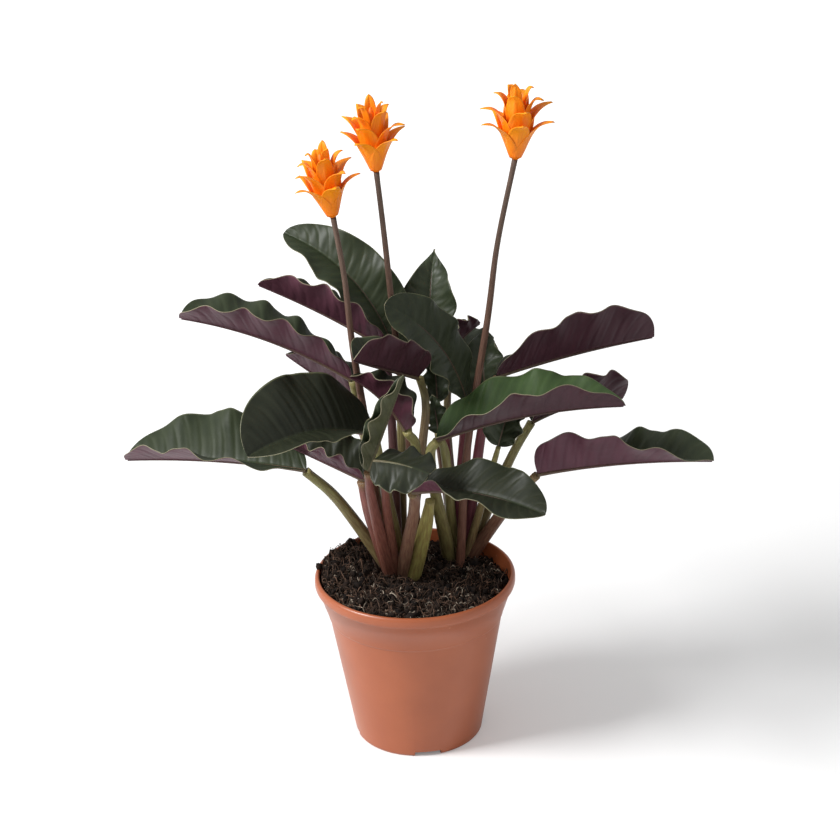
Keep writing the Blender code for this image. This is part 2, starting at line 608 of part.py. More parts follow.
def flower_head(name, place, lean, spin, size):
    pieces = []
    sides = 6
    pts, fcs = [], []
    for r, z in CORE:
        for k in range(sides):
            a = 2 * math.pi * k / sides
            pts.append((r * math.cos(a), r * math.sin(a), z))
    for ring in range(len(CORE) - 1):
        for k in range(sides):
            n = (k + 1) % sides
            a, b = ring * sides, (ring + 1) * sides
            fcs.append((a + k, a + n, b + n, b + k))
    fcs.append(tuple(reversed(range(sides))))
    fcs.append(tuple(range((len(CORE) - 1) * sides, len(CORE) * sides)))
    pieces.append(mesh_object(name, pts, fcs))
    for number, tier in enumerate(TIERS):
        for k in range(tier["count"]):
            turn = math.radians(tier["turn"] + spin + 360.0 * k / tier["count"])
            grow = 1.0 + 0.06 * math.sin(2.3 * k + 1.7 * number + spin)
            tip = (tier["tip"][0] * grow, tier["tip"][1] * (2.0 - grow))
            grid = bract_points(tier["foot"], tier["side"], tier["bend"], tip, tier["half"])
            c, s = math.cos(turn), math.sin(turn)
            flat = grid.reshape(-1, 3) @ np.array([[c, s, 0.0], [-s, c, 0.0], [0.0, 0.0, 1.0]])
            nu, nv = grid.shape[0] - 1, grid.shape[1] - 1
            quads = []
            for i in range(nu):
                for j in range(nv):
                    a = i * (nv + 1) + j
                    quads += [(a, a + 1, a + nv + 2), (a, a + nv + 2, a + nv + 1)]
            bract = mesh_object("%s_bract_%d_%d" % (name, number, k), flat, quads)
            solid = bract.modifiers.new("thickness", "SOLIDIFY")
            solid.thickness = MM * BRACT
            solid.offset = 0.0
            bake(bract)
            bm = bmesh.new()
            bm.from_mesh(bract.data)
            bmesh.ops.recalc_face_normals(bm, faces=bm.faces)
            bm.to_mesh(bract.data)
            bm.free()
            pieces.append(bract)
    head = union(name, pieces)
    keep_largest(head)
    c, s = math.cos(math.radians(lean)), math.sin(math.radians(lean))
    for vertex in head.data.vertices:
        x, y, z = size * vertex.co
        vertex.co = (c * x + s * z + MM * place[0], y + MM * place[1], c * z - s * x + MM * place[2])
    return head


bract_orange = material("bract", (1.0, 0.25, 0.01), 0.4)
HEADS = [
    ("flower_head_left", (-40.2, 0.0, 330.0), -9.0, 0.0, 0.96),
    ("flower_head_middle", (-15.1, 0.0, 355.9), -3.0, 25.0, 0.95),
    ("flower_head_right", (62.2, 0.0, 361.0), 3.0, 60.0, 1.0),
]
for name, place, lean, spin, size in HEADS:
    finish(flower_head(name, place, lean, spin, size), bract_orange.copy(), 40.0)
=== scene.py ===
"""Looks of an eternal flame calathea in its terracotta-coloured nursery pot.

Sizes in the tables and functions are in millimetres, and become metres when a mesh is made. The pot
stands on z = 0 round the z axis, and the plant faces -y.
"""
import math

import bmesh
import bpy
import numpy as np
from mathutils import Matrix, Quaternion, Vector


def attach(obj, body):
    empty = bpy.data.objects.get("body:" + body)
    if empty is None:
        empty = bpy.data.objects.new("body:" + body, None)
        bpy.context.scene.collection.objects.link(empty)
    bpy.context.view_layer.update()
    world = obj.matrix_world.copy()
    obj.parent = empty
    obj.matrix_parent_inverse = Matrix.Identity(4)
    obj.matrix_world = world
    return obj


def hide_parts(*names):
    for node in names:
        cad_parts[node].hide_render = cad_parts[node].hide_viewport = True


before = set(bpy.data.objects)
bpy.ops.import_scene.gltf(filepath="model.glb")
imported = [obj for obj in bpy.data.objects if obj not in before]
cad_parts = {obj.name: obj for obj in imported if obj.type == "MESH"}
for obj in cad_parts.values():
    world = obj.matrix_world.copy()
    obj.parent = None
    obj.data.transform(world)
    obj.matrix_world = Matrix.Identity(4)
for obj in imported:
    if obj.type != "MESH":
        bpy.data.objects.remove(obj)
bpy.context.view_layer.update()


# The pot: a thin injection-moulded nursery pot of terracotta-coloured polypropylene, with a
# rounded bead at the rim, a flared collar that ends in a step, and a foot ring with four notches.
MM = 0.001
POT_BASE_RADIUS = 38.6
POT_WALL = 1.2
POT_FLOOR_LOW = 3.5
POT_FLOOR_TOP = POT_FLOOR_LOW + POT_WALL
FOOT_INSIDE = 36.2
FOOT_RING = 37.2
FOOT_TOP = 2.0
NOTCHES = 4
NOTCH_HALF = math.radians(11.9)
NOTCH_HEIGHT = 3.0
NOTCH_TURN = math.radians(-82.3)
DRAINS = 6
DRAIN_RADIUS = 4.0
DRAIN_CIRCLE = 22.0
COLLAR_LINE = [(51.7, 78.5), (51.8, 79.3), (52.2, 79.7), (52.5, 80.1), (52.6, 80.6), (52.7, 81.2),
               (58.1, 97.8), (58.9, 98.1), (59.6, 98.9), (59.95, 100.0), (60.0, 101.4), (59.9, 102.9),
               (59.5, 104.1), (58.8, 104.8), (58.0, 105.0), (57.4, 104.7), (57.2, 104.0), (57.1, 98.0),
               (51.2, 80.4), (50.6, 79.4)]


def grid_faces(rows, columns, closed=False):
    """Quads (i, j), (i, j + 1), (i + 1, j + 1), (i + 1, j) of a grid, row by row.

    Closed joins the last column to the first."""
    i = np.arange(rows - 1)[:, None]
    j = np.arange(columns if closed else columns - 1)[None, :]
    k = (j + 1) % columns
    quads = [i * columns + j, i * columns + k, (i + 1) * columns + k, (i + 1) * columns + j]
    return np.stack(np.broadcast_arrays(*quads), -1).reshape(-1, 4)


def surface(name, points, faces, materials, slots=None, merge=False, stands_for=(), **values):
    """A smooth mesh piece from points in millimetres; values are its uv map and colours by point."""
    mesh = bpy.data.meshes.new(name)
    mesh.from_pydata((MM * points.reshape(-1, 3)).tolist(), [], faces.tolist())
    for key, value in values.items():
        if key == "uv":
            corners = np.zeros(len(mesh.loops), np.int32)
            mesh.loops.foreach_get("vertex_index", corners)
            layer = mesh.uv_layers.new(name="uv")
            layer.data.foreach_set("uv", value.reshape(-1, 2)[corners].ravel())
        else:
            layer = mesh.color_attributes.new(name=key, type="FLOAT_COLOR", domain="POINT")
            colour = np.ones((len(mesh.vertices), 4))
            colour[:, :3] = value.reshape(-1, 3)
            layer.data.foreach_set("color", colour.ravel())
    mesh.polygons.foreach_set("use_smooth", np.ones(len(mesh.polygons), bool))
    for each in materials:
        mesh.materials.append(each)
    if slots is not None:
        mesh.polygons.foreach_set("material_index", np.asarray(slots, np.int32))
    if merge:
        bm = bmesh.new()
        bm.from_mesh(mesh)
        bmesh.ops.remove_doubles(bm, verts=bm.verts, dist=1e-7)
        bmesh.ops.dissolve_degenerate(bm, edges=bm.edges, dist=1e-8)
        bmesh.ops.recalc_face_normals(bm, faces=bm.faces)
        bm.to_mesh(mesh)
        bm.free()
    mesh.update()
    piece = bpy.data.objects.new(name, mesh)
    bpy.context.scene.collection.objects.link(piece)
    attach(piece, "root")
    if stands_for:
        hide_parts(*stands_for)
    return piece


def node(tree, kind, inputs=(), **settings):
    """A shader node with its settings, and its inputs given as values or as other sockets."""
    made = tree.nodes.new(kind)
    for key, value in settings.items():
        setattr(made, key, value)
    for key, value in dict(inputs).items():
        if isinstance(value, bpy.types.NodeSocket):
            tree.links.new(value, made.inputs[key])
        else:
            made.inputs[key].default_value = value
    return made


def maths(tree, operation, first, second=0.0):
    """One step of arithmetic between two values."""
    return node(tree, "ShaderNodeMath", {0: first, 1: second}, operation=operation).outputs[0]


def mixed(tree, share, first, second):
    """The colour between two, by share."""
    return node(tree, "ShaderNodeMix", {0: share, 6: first, 7: second}, data_type="RGBA").outputs[2]


def multiplied(tree, colour, factor):
    """A colour times a fixed factor for each of red, green and blue."""
    return node(tree, "ShaderNodeMix", {0: 1.0, 6: colour, 7: (*factor, 1)}, data_type="RGBA",
                blend_type="MULTIPLY").outputs[2]


def object_place(tree):
    """The place of a point in the piece's own coordinates, in metres."""
    return node(tree, "ShaderNodeTexCoord").outputs["Object"]


def point_colour(tree, name):
    """A colour that the mesh stores by point."""
    return node(tree, "ShaderNodeAttribute", attribute_name=name).outputs["Color"]


def uv_place(tree):
    """The uv map's place, as separate values."""
    place = node(tree, "ShaderNodeUVMap", uv_map="uv").outputs[0]
    return node(tree, "ShaderNodeSeparateXYZ", {0: place}).outputs


def ramp(tree, value, low, high):
    """0 below low, 1 above high, smooth between."""
    made = node(tree, "ShaderNodeMapRange", {"Value": value, "From Min": low, "From Max": high},
                interpolation_type="SMOOTHSTEP")
    return made.outputs["Result"]


def effect(name, inputs, outputs):
    """A shader node group with named sockets: the tree, its given sockets and its results."""
    tree = bpy.data.node_groups.new(name, "ShaderNodeTree")
    for key, kind, value in inputs:
        socket = tree.interface.new_socket(name=key, in_out="INPUT", socket_type="NodeSocket" + kind)
        socket.default_value = value
    for key, kind in outputs:
        tree.interface.new_socket(name=key, in_out="OUTPUT", socket_type="NodeSocket" + kind)
    return tree, tree.nodes.new("NodeGroupInput").outputs, tree.nodes.new("NodeGroupOutput").inputs


def material(name, **sockets):
    """A material with a Principled shader: the material, its tree and the shader."""
    made = bpy.data.materials.new(name)
    made.use_nodes = True
    shader = made.node_tree.nodes["Principled BSDF"]
    for key, value in sockets.items():
        shader.inputs[key.replace("_", " ")].default_value = value
    return made, made.node_tree, shader


def bump(tree, shader, height, strength, distance):
    """Fine relief on a shader: a height, its strength and its depth in metres."""
    made = node(tree, "ShaderNodeBump", {"Height": height, "Strength": strength, "Distance": distance})
    tree.links.new(made.outputs["Normal"], shader.inputs["Normal"])


# Mottle: a colour that drifts towards a second shade over a piece, with the noise as a height.
mottle, given, result = effect(
    "mottle",
    [("Colour", "Color", (0.5, 0.5, 0.5, 1)), ("Shade", "Color", (0, 0, 0, 1)),
     ("Scale", "Float", 50.0), ("Amount", "Float", 0.5)],
    [("Colour", "Color"), ("Height", "Float")])
noise = node(mottle, "ShaderNodeTexNoise",
             {"Vector": object_place(mottle), "Scale": given["Scale"], "Detail": 5.0}).outputs[0]
share = maths(mottle, "MULTIPLY", ramp(mottle, noise, 0.3, 0.7), given["Amount"])
mottle.links.new(mixed(mottle, share, given["Colour"], given["Shade"]), result["Colour"])
mottle.links.new(noise, result["Height"])


def toned(tree, colour, shade, scale=50.0, amount=0.5):
    """The mottle in a material, between a colour and a shade."""
    inputs = {"Colour": colour, "Shade": (*shade, 1), "Scale": scale, "Amount": amount}
    return node(tree, "ShaderNodeGroup", inputs, node_tree=mottle)


def pot_wall_points():
    """The wall's section turned round z; at a notch the foot ring's lowest points are lifted."""
    slope = (COLLAR_LINE[0][0] - POT_BASE_RADIUS) / (COLLAR_LINE[0][1] - FOOT_TOP)
    foot = [(37.9, 0.25), (38.4, 0.9)]
    foot += [(POT_BASE_RADIUS + slope * (height - FOOT_TOP), height)
             for height in (FOOT_TOP, NOTCH_HEIGHT, 3.3, 5.0, 32.0)]
    floor_radius = POT_BASE_RADIUS + slope * (POT_FLOOR_TOP - FOOT_TOP) - POT_WALL
    inner = [(floor_radius + 0.7, POT_FLOOR_TOP + 0.7), (floor_radius, POT_FLOOR_TOP)]
    under = [(FOOT_INSIDE, POT_FLOOR_LOW), (FOOT_INSIDE, 0.0), (FOOT_RING, 0.0)]
    line = np.array(under + foot + COLLAR_LINE + inner)
    turns = np.linspace(0.0, 2 * math.pi, 192, endpoint=False)
    middles = NOTCH_TURN + np.arange(NOTCHES)[:, None] * 2 * math.pi / NOTCHES
    edges = middles + np.array([[-1, -1, 1, 1]]) * NOTCH_HALF + np.array([[-1, 1, -1, 1]]) * 0.003
    turns = np.sort(np.concatenate([turns, edges.ravel() % (2 * math.pi)]))
    away = np.abs((turns[:, None] - middles.T + math.pi) % (2 * math.pi) - math.pi).min(1)
    lift = np.where(away < NOTCH_HALF, NOTCH_HEIGHT, 0.0)[None, :]
    r, z = line[:, :1], line[:, 1:]
    z = np.where(z < NOTCH_HEIGHT, np.maximum(z, lift), z + 0.0 * lift)
    return np.stack([r * np.cos(turns), r * np.sin(turns), z], -1), turns, floor_radius


def floor_wedge_points(start, turns, outer, inner):
    """A sixth of the floor, ruled from its outline to the circle of its drain hole.

    Its rows are outline top, hole top, hole bottom, outline bottom. The outline runs from the middle
    out along one side, along the wall's own turns and back along the other side."""
    span = 2 * math.pi / DRAINS
    turns = np.append(turns, 2 * math.pi)
    arc = turns[(turns > start - 1e-6) & (turns < start + span + 1e-6)]
    side = np.linspace(0.0, 1.0, 10, endpoint=False)[:, None]
    low, high = (np.array([[math.cos(end), math.sin(end)]]) for end in (arc[0], arc[-1]))
    rows = []
    for radius in (outer, inner):
        rim = radius * np.stack([np.cos(arc), np.sin(arc)], -1)
        rows.append(np.concatenate([side * radius * low, rim, (1.0 - side[1:]) * radius * high]))
    middle = DRAIN_CIRCLE * np.array([math.cos(start + span / 2), math.sin(start + span / 2)])
    out = rows[0] - middle
    hole = middle + DRAIN_RADIUS * out / np.linalg.norm(out, axis=1, keepdims=True)
    flat = np.stack([rows[0], hole, hole, rows[1]])
    z = np.array([POT_FLOOR_TOP, POT_FLOOR_TOP, POT_FLOOR_LOW, POT_FLOOR_LOW])[:, None]
    return np.stack([flat[..., 0], flat[..., 1], z + 0.0 * flat[..., 0]], -1)


pot_plastic, tree, shader = material("pot_plastic", Roughness=0.36, Coat_Weight=0.15, Coat_Roughness=0.3)
tone = toned(tree, (0.40, 0.108, 0.040, 1), (0.30, 0.075, 0.028), 22.0)
where = object_place(tree)
specks = node(tree, "ShaderNodeTexVoronoi", {"Vector": where, "Scale": 70.0}).outputs["Distance"]
speck = maths(tree, "SUBTRACT", 1.0, ramp(tree, specks, 0.025, 0.05))
spotted = mixed(tree, maths(tree, "MULTIPLY", speck, 0.35), tone.outputs["Colour"], (0.75, 0.4, 0.28, 1))
tree.links.new(spotted, shader.inputs["Base Color"])
grain = node(tree, "ShaderNodeTexNoise", {"Vector": where, "Scale": 900.0, "Detail": 2.0}).outputs[0]
bump(tree, shader, maths(tree, "ADD", grain, speck), 0.12, 0.0002)


def joined(grids):
    """The points and faces of several grids that are closed across, as one mesh."""
    starts = np.cumsum([0] + [grid.shape[0] * grid.shape[1] for grid in grids[:-1]])
    faces = [grid_faces(*grid.shape[:2], True) + start for grid, start in zip(grids, starts)]
    return np.concatenate([grid.reshape(-1, 3) for grid in grids]), np.concatenate(faces)


wall, turns, floor_radius = pot_wall_points()
wedges = [floor_wedge_points(k * 2 * math.pi / DRAINS, turns, floor_radius, FOOT_INSIDE)
          for k in range(DRAINS)]
pot = surface("nursery_pot", *joined([wall] + wedges), [pot_plastic], merge=True, stands_for=["pot"])


# The peat: dark potting peat that fills the pot, heaped against the rim at the left and about a
# centimetre lower at the right, loose and crumbly on top.
SOIL_LEVEL = 97.5
SOIL_RADIUS = 56.2
SEED = 11
chance = np.random.default_rng(SEED)
RIPPLES = [(chance.uniform(0.12, 2.2, 2) * chance.choice([-1, 1], 2), chance.uniform(0, 6.3, 2))
           for _ in range(26)]


def soil_top(x, y):
    """Height of the peat: a slope down to the right, a heap at the left, and crumbs of sines whose
    height falls with their pitch."""
    heap = 7.5 * np.exp(-((x + 42.0) ** 2 + (y - 18.0) ** 2) / 24.0 ** 2)
    rough = 0.0 * x
    for (a, b), (p, q) in RIPPLES:
        height = 0.85 / (0.5 + abs(a) + abs(b))
        rough = rough + height * np.sin(a * x + p + 0.8 * np.sin(b * y)) * np.sin(b * y + q)
    return SOIL_LEVEL - 0.045 * x + heap + rough


def soil_points(rings=84, sectors=220):
    """Rings from the middle of the top to the wall, then down the wall and in under it."""
    turn = np.linspace(0.0, 2 * math.pi, sectors, endpoint=False)[None, :]
    r = SOIL_RADIUS * np.linspace(0.0, 1.0, rings)[:, None] ** 0.8
    x, y = r * np.cos(turn), r * np.sin(turn)
    top = soil_top(x, y)
    edge = np.interp(top, [79.4, 80.4, 98.0, 104.0], [50.2, 50.8, 56.7, 56.8])
    shrink = np.minimum(1.0, edge / SOIL_RADIUS)
    x, y = x * shrink, y * shrink
    top[0] = top[0].mean()
    lower = [(50.0, 79.0), (37.6, 5.2), (0.0, 5.2)]
    rows = [np.stack([x, y, top], -1)]
    for radius, height in lower:
        rows.append(np.stack([radius * np.cos(turn), radius * np.sin(turn), height + 0.0 * turn], -1))
    return np.concatenate(rows)


peat, tree, shader = material("peat", Roughness=0.95, Specular_IOR_Level=0.25)
tone = toned(tree, (0.005, 0.0035, 0.003, 1), (0.026, 0.015, 0.010), 210.0, 0.9)
tree.links.new(tone.outputs["Colour"], shader.inputs["Base Color"])
bump(tree, shader, tone.outputs["Height"], 0.9, 0.0012)
soil = soil_points()
peat_bed = surface("peat_bed", soil, grid_faces(*soil.shape[:2], True), [peat], merge=True,
                   stands_for=["soil"])


# The crumbs: loose clods of peat on the bed, most of them at the left, where some lie on the rim.
def scatter(number, spread=50.0):
    """Random places on the peat, denser at the heap and the front."""
    turn, out = chance.uniform(0, 2 * math.pi, number), spread * np.sqrt(chance.uniform(0, 1, number))
    x, y = out * np.cos(turn), out * np.sin(turn)
    near = chance.uniform(0, 1, number) < 0.3
    x = np.where(near, np.clip(-38 + 10 * chance.normal(size=number), -52, 0), x)
    y = np.where(near, 4 + 17 * chance.normal(size=number), y)
    out = np.hypot(x, y)
    shrink = np.minimum(1.0, spread / np.maximum(out, 1e-6))
    return x * shrink, y * shrink


def crumb_points(middles, sizes, rows=5, columns=7):
    """Lumps: a sphere's rows and columns, each point pushed in or out, each lump stretched."""
    number = len(sizes)
    lat = np.linspace(-math.pi / 2, math.pi / 2, rows)[None, :, None]
    lon = np.linspace(0, 2 * math.pi, columns, endpoint=False)[None, None, :]
    push = chance.uniform(0.6, 1.25, (number, rows, columns))
    push[:, 0], push[:, -1] = 0.8, 0.8
    ball = np.stack([np.cos(lat) * np.cos(lon), np.cos(lat) * np.sin(lon), np.sin(lat) + 0.0 * lon], -1)
    ball = ball * push[..., None] * sizes[:, None, None, None] * chance.uniform(0.55, 1.3, (number, 1, 1, 3))
    spin = chance.uniform(0, 6.3, (number, 1, 1))
    tilt = chance.uniform(-0.8, 0.8, (number, 1, 1))
    x, y, z = ball[..., 0], ball[..., 1], ball[..., 2]
    x, z = x * np.cos(tilt) - z * np.sin(tilt), z * np.cos(tilt) + x * np.sin(tilt)
    x, y = x * np.cos(spin) - y * np.sin(spin), y * np.cos(spin) + x * np.sin(spin)
    return np.stack([x, y, z], -1) + middles[:, None, None]


def many_faces(number, rows, columns):
    """The faces of many like closed grids, one after the other."""
    starts = np.arange(number)[:, None, None] * rows * columns
    return (grid_faces(rows, columns, True)[None] + starts).reshape(-1, 4)


CRUMBS = 1250
x, y = scatter(CRUMBS, 54.5)
sizes = 0.5 + 2.3 * chance.uniform(0, 1, CRUMBS) ** 2.0
middles = np.stack([x, y, soil_top(x, y) + 0.5 * sizes], -1)
clods = np.array([(-52, 9, 105.5), (-47, 22, 106.0), (-43, 30, 106.5), (-50, -3, 104.5), (-57.5, 7, 106.6),
                  (-38, 36, 106.3), (-44, 12, 106.8), (-36, 26, 107.0), (-53, 17, 106.2)], float)
middles = np.concatenate([middles, clods])
sizes = np.concatenate([sizes, np.array([2.6, 2.4, 2.2, 2.4, 1.9, 2.1, 2.6, 2.2, 2.0])])
crumbs = surface("peat_crumbs", crumb_points(middles, sizes), many_faces(len(sizes), 5, 7), [peat],
                 merge=True)


# The fibres: brown coir hairs mixed through the peat, with a few pale thicker roots, lying loosely
# over the crumbs.
def tube_points(paths, radii, sides, groove=0.0, grooves_at=0.0):
    """Round tubes along many paths at once: path + r (side cos a + up sin a) from a to 2 pi.

    A groove draws one side in by a share of the radius."""
    along = np.gradient(paths, axis=-2)
    along = along / np.linalg.norm(along, axis=-1, keepdims=True)
    guide = np.broadcast_to(np.array([0.17, 0.95, 0.26]), along.shape)
    side = np.cross(along, guide)
    side = side / np.linalg.norm(side, axis=-1, keepdims=True)
    up = np.cross(along, side)
    a = np.linspace(0, 2 * math.pi, sides, endpoint=False)
    dent = 1.0 - groove * np.exp(-(((a - grooves_at + math.pi) % (2 * math.pi) - math.pi) / 0.45) ** 2)
    ring = side[..., None, :] * (dent * np.cos(a))[:, None] + up[..., None, :] * (dent * np.sin(a))[:, None]
    return paths[..., None, :] + ring * radii[..., None, None]


def capped(tubes):
    """Tubes with a point added before the first ring and after the last, to close the ends."""
    first = tubes[..., :1, :, :].mean(-2, keepdims=True) + 0.0 * tubes[..., :1, :, :]
    last = tubes[..., -1:, :, :].mean(-2, keepdims=True) + 0.0 * tubes[..., -1:, :, :]
    return np.concatenate([first, tubes, last], axis=-3)


def fibre_paths(number, lengths, lift, steps=9):
    """Curls on the peat: a heading that drifts along the fibre, its height riding on the crumbs."""
    x, y = scatter(number, 51.0)
    turn = chance.uniform(0, 2 * math.pi, (number, 1)) + np.cumsum(chance.normal(0, 0.33, (number, steps)), 1)
    step = lengths[:, None] / steps
    px = x[:, None] + np.cumsum(np.cos(turn) * step, 1)
    py = y[:, None] + np.cumsum(np.sin(turn) * step, 1)
    out = np.hypot(px, py)
    px, py = px * np.minimum(1, 55.5 / out), py * np.minimum(1, 55.5 / out)
    t = np.linspace(0, 1, steps)[None, :]
    arch = lift[:, None] * np.sin(math.pi * (t + chance.uniform(-0.3, 0.3, (number, 1)))) ** 2
    return np.stack([px, py, soil_top(px, py) + 0.4 + arch + 0.3 * np.sin(9 * t + x[:, None])], -1)


fibre, tree, shader = material("fibre", Roughness=0.75, Specular_IOR_Level=0.3)
tone = toned(tree, point_colour(tree, "tint"), (0.03, 0.017, 0.01), 260.0, 0.6)
tree.links.new(tone.outputs["Colour"], shader.inputs["Base Color"])

FIBRES = 1500
PALE_ROOTS = 300
lengths = np.concatenate([chance.uniform(5, 19, FIBRES), chance.uniform(2.5, 13, PALE_ROOTS)])
lift = np.concatenate([chance.uniform(0, 1, FIBRES) ** 3 * 6.0, chance.uniform(0.2, 1.8, PALE_ROOTS)])
paths = fibre_paths(FIBRES + PALE_ROOTS, lengths, lift)
thick = np.concatenate([chance.uniform(0.10, 0.40, FIBRES), chance.uniform(0.16, 0.44, PALE_ROOTS)])
taper = np.array([0.4, 0.8, 1, 1, 1, 1, 0.9, 0.7, 0.3])
tubes = tube_points(paths, thick[:, None] * taper, 3)
brown = np.array([0.115, 0.066, 0.043]) * chance.uniform(0.12, 1.6, (FIBRES, 1)) ** 1.3
pale = np.array([0.55, 0.46, 0.36]) * chance.uniform(0.3, 1.2, (PALE_ROOTS, 1))
tints = np.concatenate([brown, pale])[:, None, None, :] + 0.0 * capped(tubes)
fibres = surface("coir_fibres", capped(tubes), many_faces(len(thick), 11, 3), [fibre], tint=tints)


# The petioles: the leaves' own stalks. Each rises from the crown in the peat, broad and sheathing
# at its foot and slimmer above, grooved on its inner side, with a paler joint under the blade.
OLIVE, OLIVE_TOP = (0.17, 0.145, 0.060), (0.25, 0.245, 0.085)
BROWN, ROSE = (0.150, 0.070, 0.042), (0.22, 0.050, 0.062)
TAN, LIME = (0.215, 0.120, 0.075), (0.300, 0.270, 0.085)
PURPLE, RUST = (0.120, 0.045, 0.060), (0.200, 0.065, 0.050)
LEFT_CROWN, RIGHT_CROWN = (-9, 18, 80), (24, 31, 80)
LEFT_STALKS = [
    ([(-62, 0, 173), (-43, 5, 150), (-15, 14, 99)], (2.8, 3.4, 4.6, 3.0), TAN, OLIVE_TOP),
    ([(-21, -5, 197), (-16, 2, 159), (-8, 14, 100)], (2.6, 3.2, 4.6, 3.0), BROWN, OLIVE_TOP),
    ([(-33, 16, 223), (-27, 24, 181), (-13, 30, 96)], (2.4, 2.8, 3.6, 3.0), TAN, OLIVE_TOP),
    ([(-13, 16, 243), (-11, 26, 186), (-10, 30, 96)], (2.4, 2.8, 3.6, 3.0), TAN, PURPLE),
    ([(-5, 49, 210), (-6, 38, 174), (-8, 32, 96)], (2.4, 2.8, 3.6, 3.0), TAN, OLIVE_TOP),
    ([(6, 1, 230), (9, 7, 212), (7, 9, 188), (-5, 20, 98)], (2.2, 2.4, 2.6, 3.6, 3.0), TAN, OLIVE),
    ([(0, -38, 175), (1, -30, 162), (-8, 8, 99)], (2.6, 3.2, 4.4, 3.0), TAN, TAN),
    ([(-25, -46, 193), (-23, -30, 165), (-14, 8, 98)], (2.0, 3.0, 4.4, 3.0), BROWN, RUST),
    ([(-20, -55, 204), (-16, -45, 188), (-15, -24, 157), (-11, 9, 98)], (1.5, 2.2, 3.2, 3.0), BROWN, RUST),
    ([(-29, -5, 168), (-24, 0, 143), (-13, 10, 98)], (3.2, 5.0, 6.0, 3.0), BROWN, RUST),
    ([(-36, 45, 198), (-25, 36, 163), (-13, 28, 97)], (2.0, 2.4, 3.4, 3.0), TAN, ROSE),
    ([(-2, -16, 204), (3, -6, 183), (-4, 14, 102)], (2.6, 2.8, 3.6, 3.0), OLIVE, OLIVE_TOP),
    ([(10, -21, 162), (7, -11, 140), (-1, 7, 99)], (2.6, 4.2, 4.6, 3.0), LIME, LIME),
]
RIGHT_STALKS = [
    ([(15, -15, 197), (11, -12, 188), (13, -2, 160), (21, 30, 101)], (2.6, 3.0, 3.2, 4.5, 3.0),
     OLIVE, OLIVE_TOP),
    ([(33, 25, 204), (31, 32, 176), (25, 37, 100)], (2.6, 2.6, 3.6, 3.0), PURPLE, ROSE),
    ([(16, 15, 188), (20, 16, 174), (22, 24, 140), (24, 34, 100)], (2.0, 2.8, 3.0, 3.6, 3.0),
     OLIVE, OLIVE_TOP),
    ([(51, 22, 220), (42, 26, 185), (31, 34, 100)], (2.6, 3.0, 3.8, 3.0), PURPLE, ROSE),
    ([(73, 5, 164), (59, 16, 143), (35, 33, 99)], (2.6, 3.5, 4.6, 3.0), BROWN, TAN),
    ([(71, 25, 189), (58, 30, 162), (33, 36, 99)], (2.6, 3.0, 4.4, 3.0), BROWN, OLIVE_TOP),
    ([(51, 5, 183), (48, 14, 167), (32, 32, 100)], (1.4, 1.8, 3.0, 2.8), TAN, OLIVE_TOP),
    ([(46, 40, 194), (40, 42, 164), (30, 39, 99)], (2.0, 2.4, 3.4, 3.0), BROWN, ROSE),
    ([(13, 64, 237), (16, 58, 177), (25, 41, 100)], (2.4, 2.6, 3.6, 3.0), BROWN, TAN),
    ([(24, 46, 225), (22, 48, 175), (26, 41, 101)], (2.0, 2.4, 3.4, 3.0), TAN, OLIVE),
    ([(16, 26, 203), (21, 31, 177), (24, 36, 101)], (1.8, 2.2, 3.2, 3.0), BROWN, ROSE),
    ([(36, 67, 199), (34, 58, 160), (28, 42, 100)], (2.0, 2.4, 3.4, 3.0), TAN, OLIVE_TOP),
]


def smooth_path(points, steps):
    """A path through the points: on each span b to c, with a before and d after,
    half of 2b + (c - a) t + (2a - 5b + 4c - d) t^2 + (3b - a - 3c + d) t^3."""
    p = np.array(points, float)
    p = np.vstack([2 * p[0] - p[1], p, 2 * p[-1] - p[-2]])
    a, b, c, d = p[:-3, None], p[1:-2, None], p[2:-1, None], p[3:, None]
    t = np.linspace(0, 1, steps, endpoint=False)[None, :, None]
    square, cube = 2 * a - 5 * b + 4 * c - d, 3 * b - a - 3 * c + d
    spans = 0.5 * (2 * b + (c - a) * t + square * t ** 2 + cube * t ** 3)
    return np.vstack([spans.reshape(-1, 3), p[-2:-1]])


def stalk(points, radii, foot, top, groove, joint_share, sides=20):
    """One stalk from the leaf down: its points, its uv (length in cm, turn) and its colours."""
    path = smooth_path(points, 16)
    share = np.linspace(0, 1, len(path))
    thick = np.interp(share, np.linspace(0, 1, len(radii)), radii)
    thick = thick * (1 + 0.10 * np.exp(-(share / 0.03) ** 2))
    turned = math.atan2(points[0][1] - points[-1][1], points[0][0] - points[-1][0])
    tube = capped(tube_points(path, thick, sides, groove, math.pi - turned))
    along = np.concatenate([[0], np.cumsum(np.linalg.norm(np.diff(path, axis=0), axis=1))]) / 10.0
    along = np.concatenate([[along[0]], along, [along[-1]]])
    share = np.concatenate([[0], share, [1]])
    around = np.linspace(0, 1, sides, endpoint=False)
    uv = np.stack(np.broadcast_arrays(along[:, None], around[None, :]), -1)
    low = np.clip((share - 0.15) / 0.75, 0, 1)[:, None, None]
    tint = np.array(top) * (1 - low) + np.array(foot) * low
    joint = np.exp(-(share / 0.045) ** 2)[:, None, None] * joint_share
    tint = tint * (1 - joint) + np.array(LIME) * joint + 0.0 * tube
    return tube, uv, tint


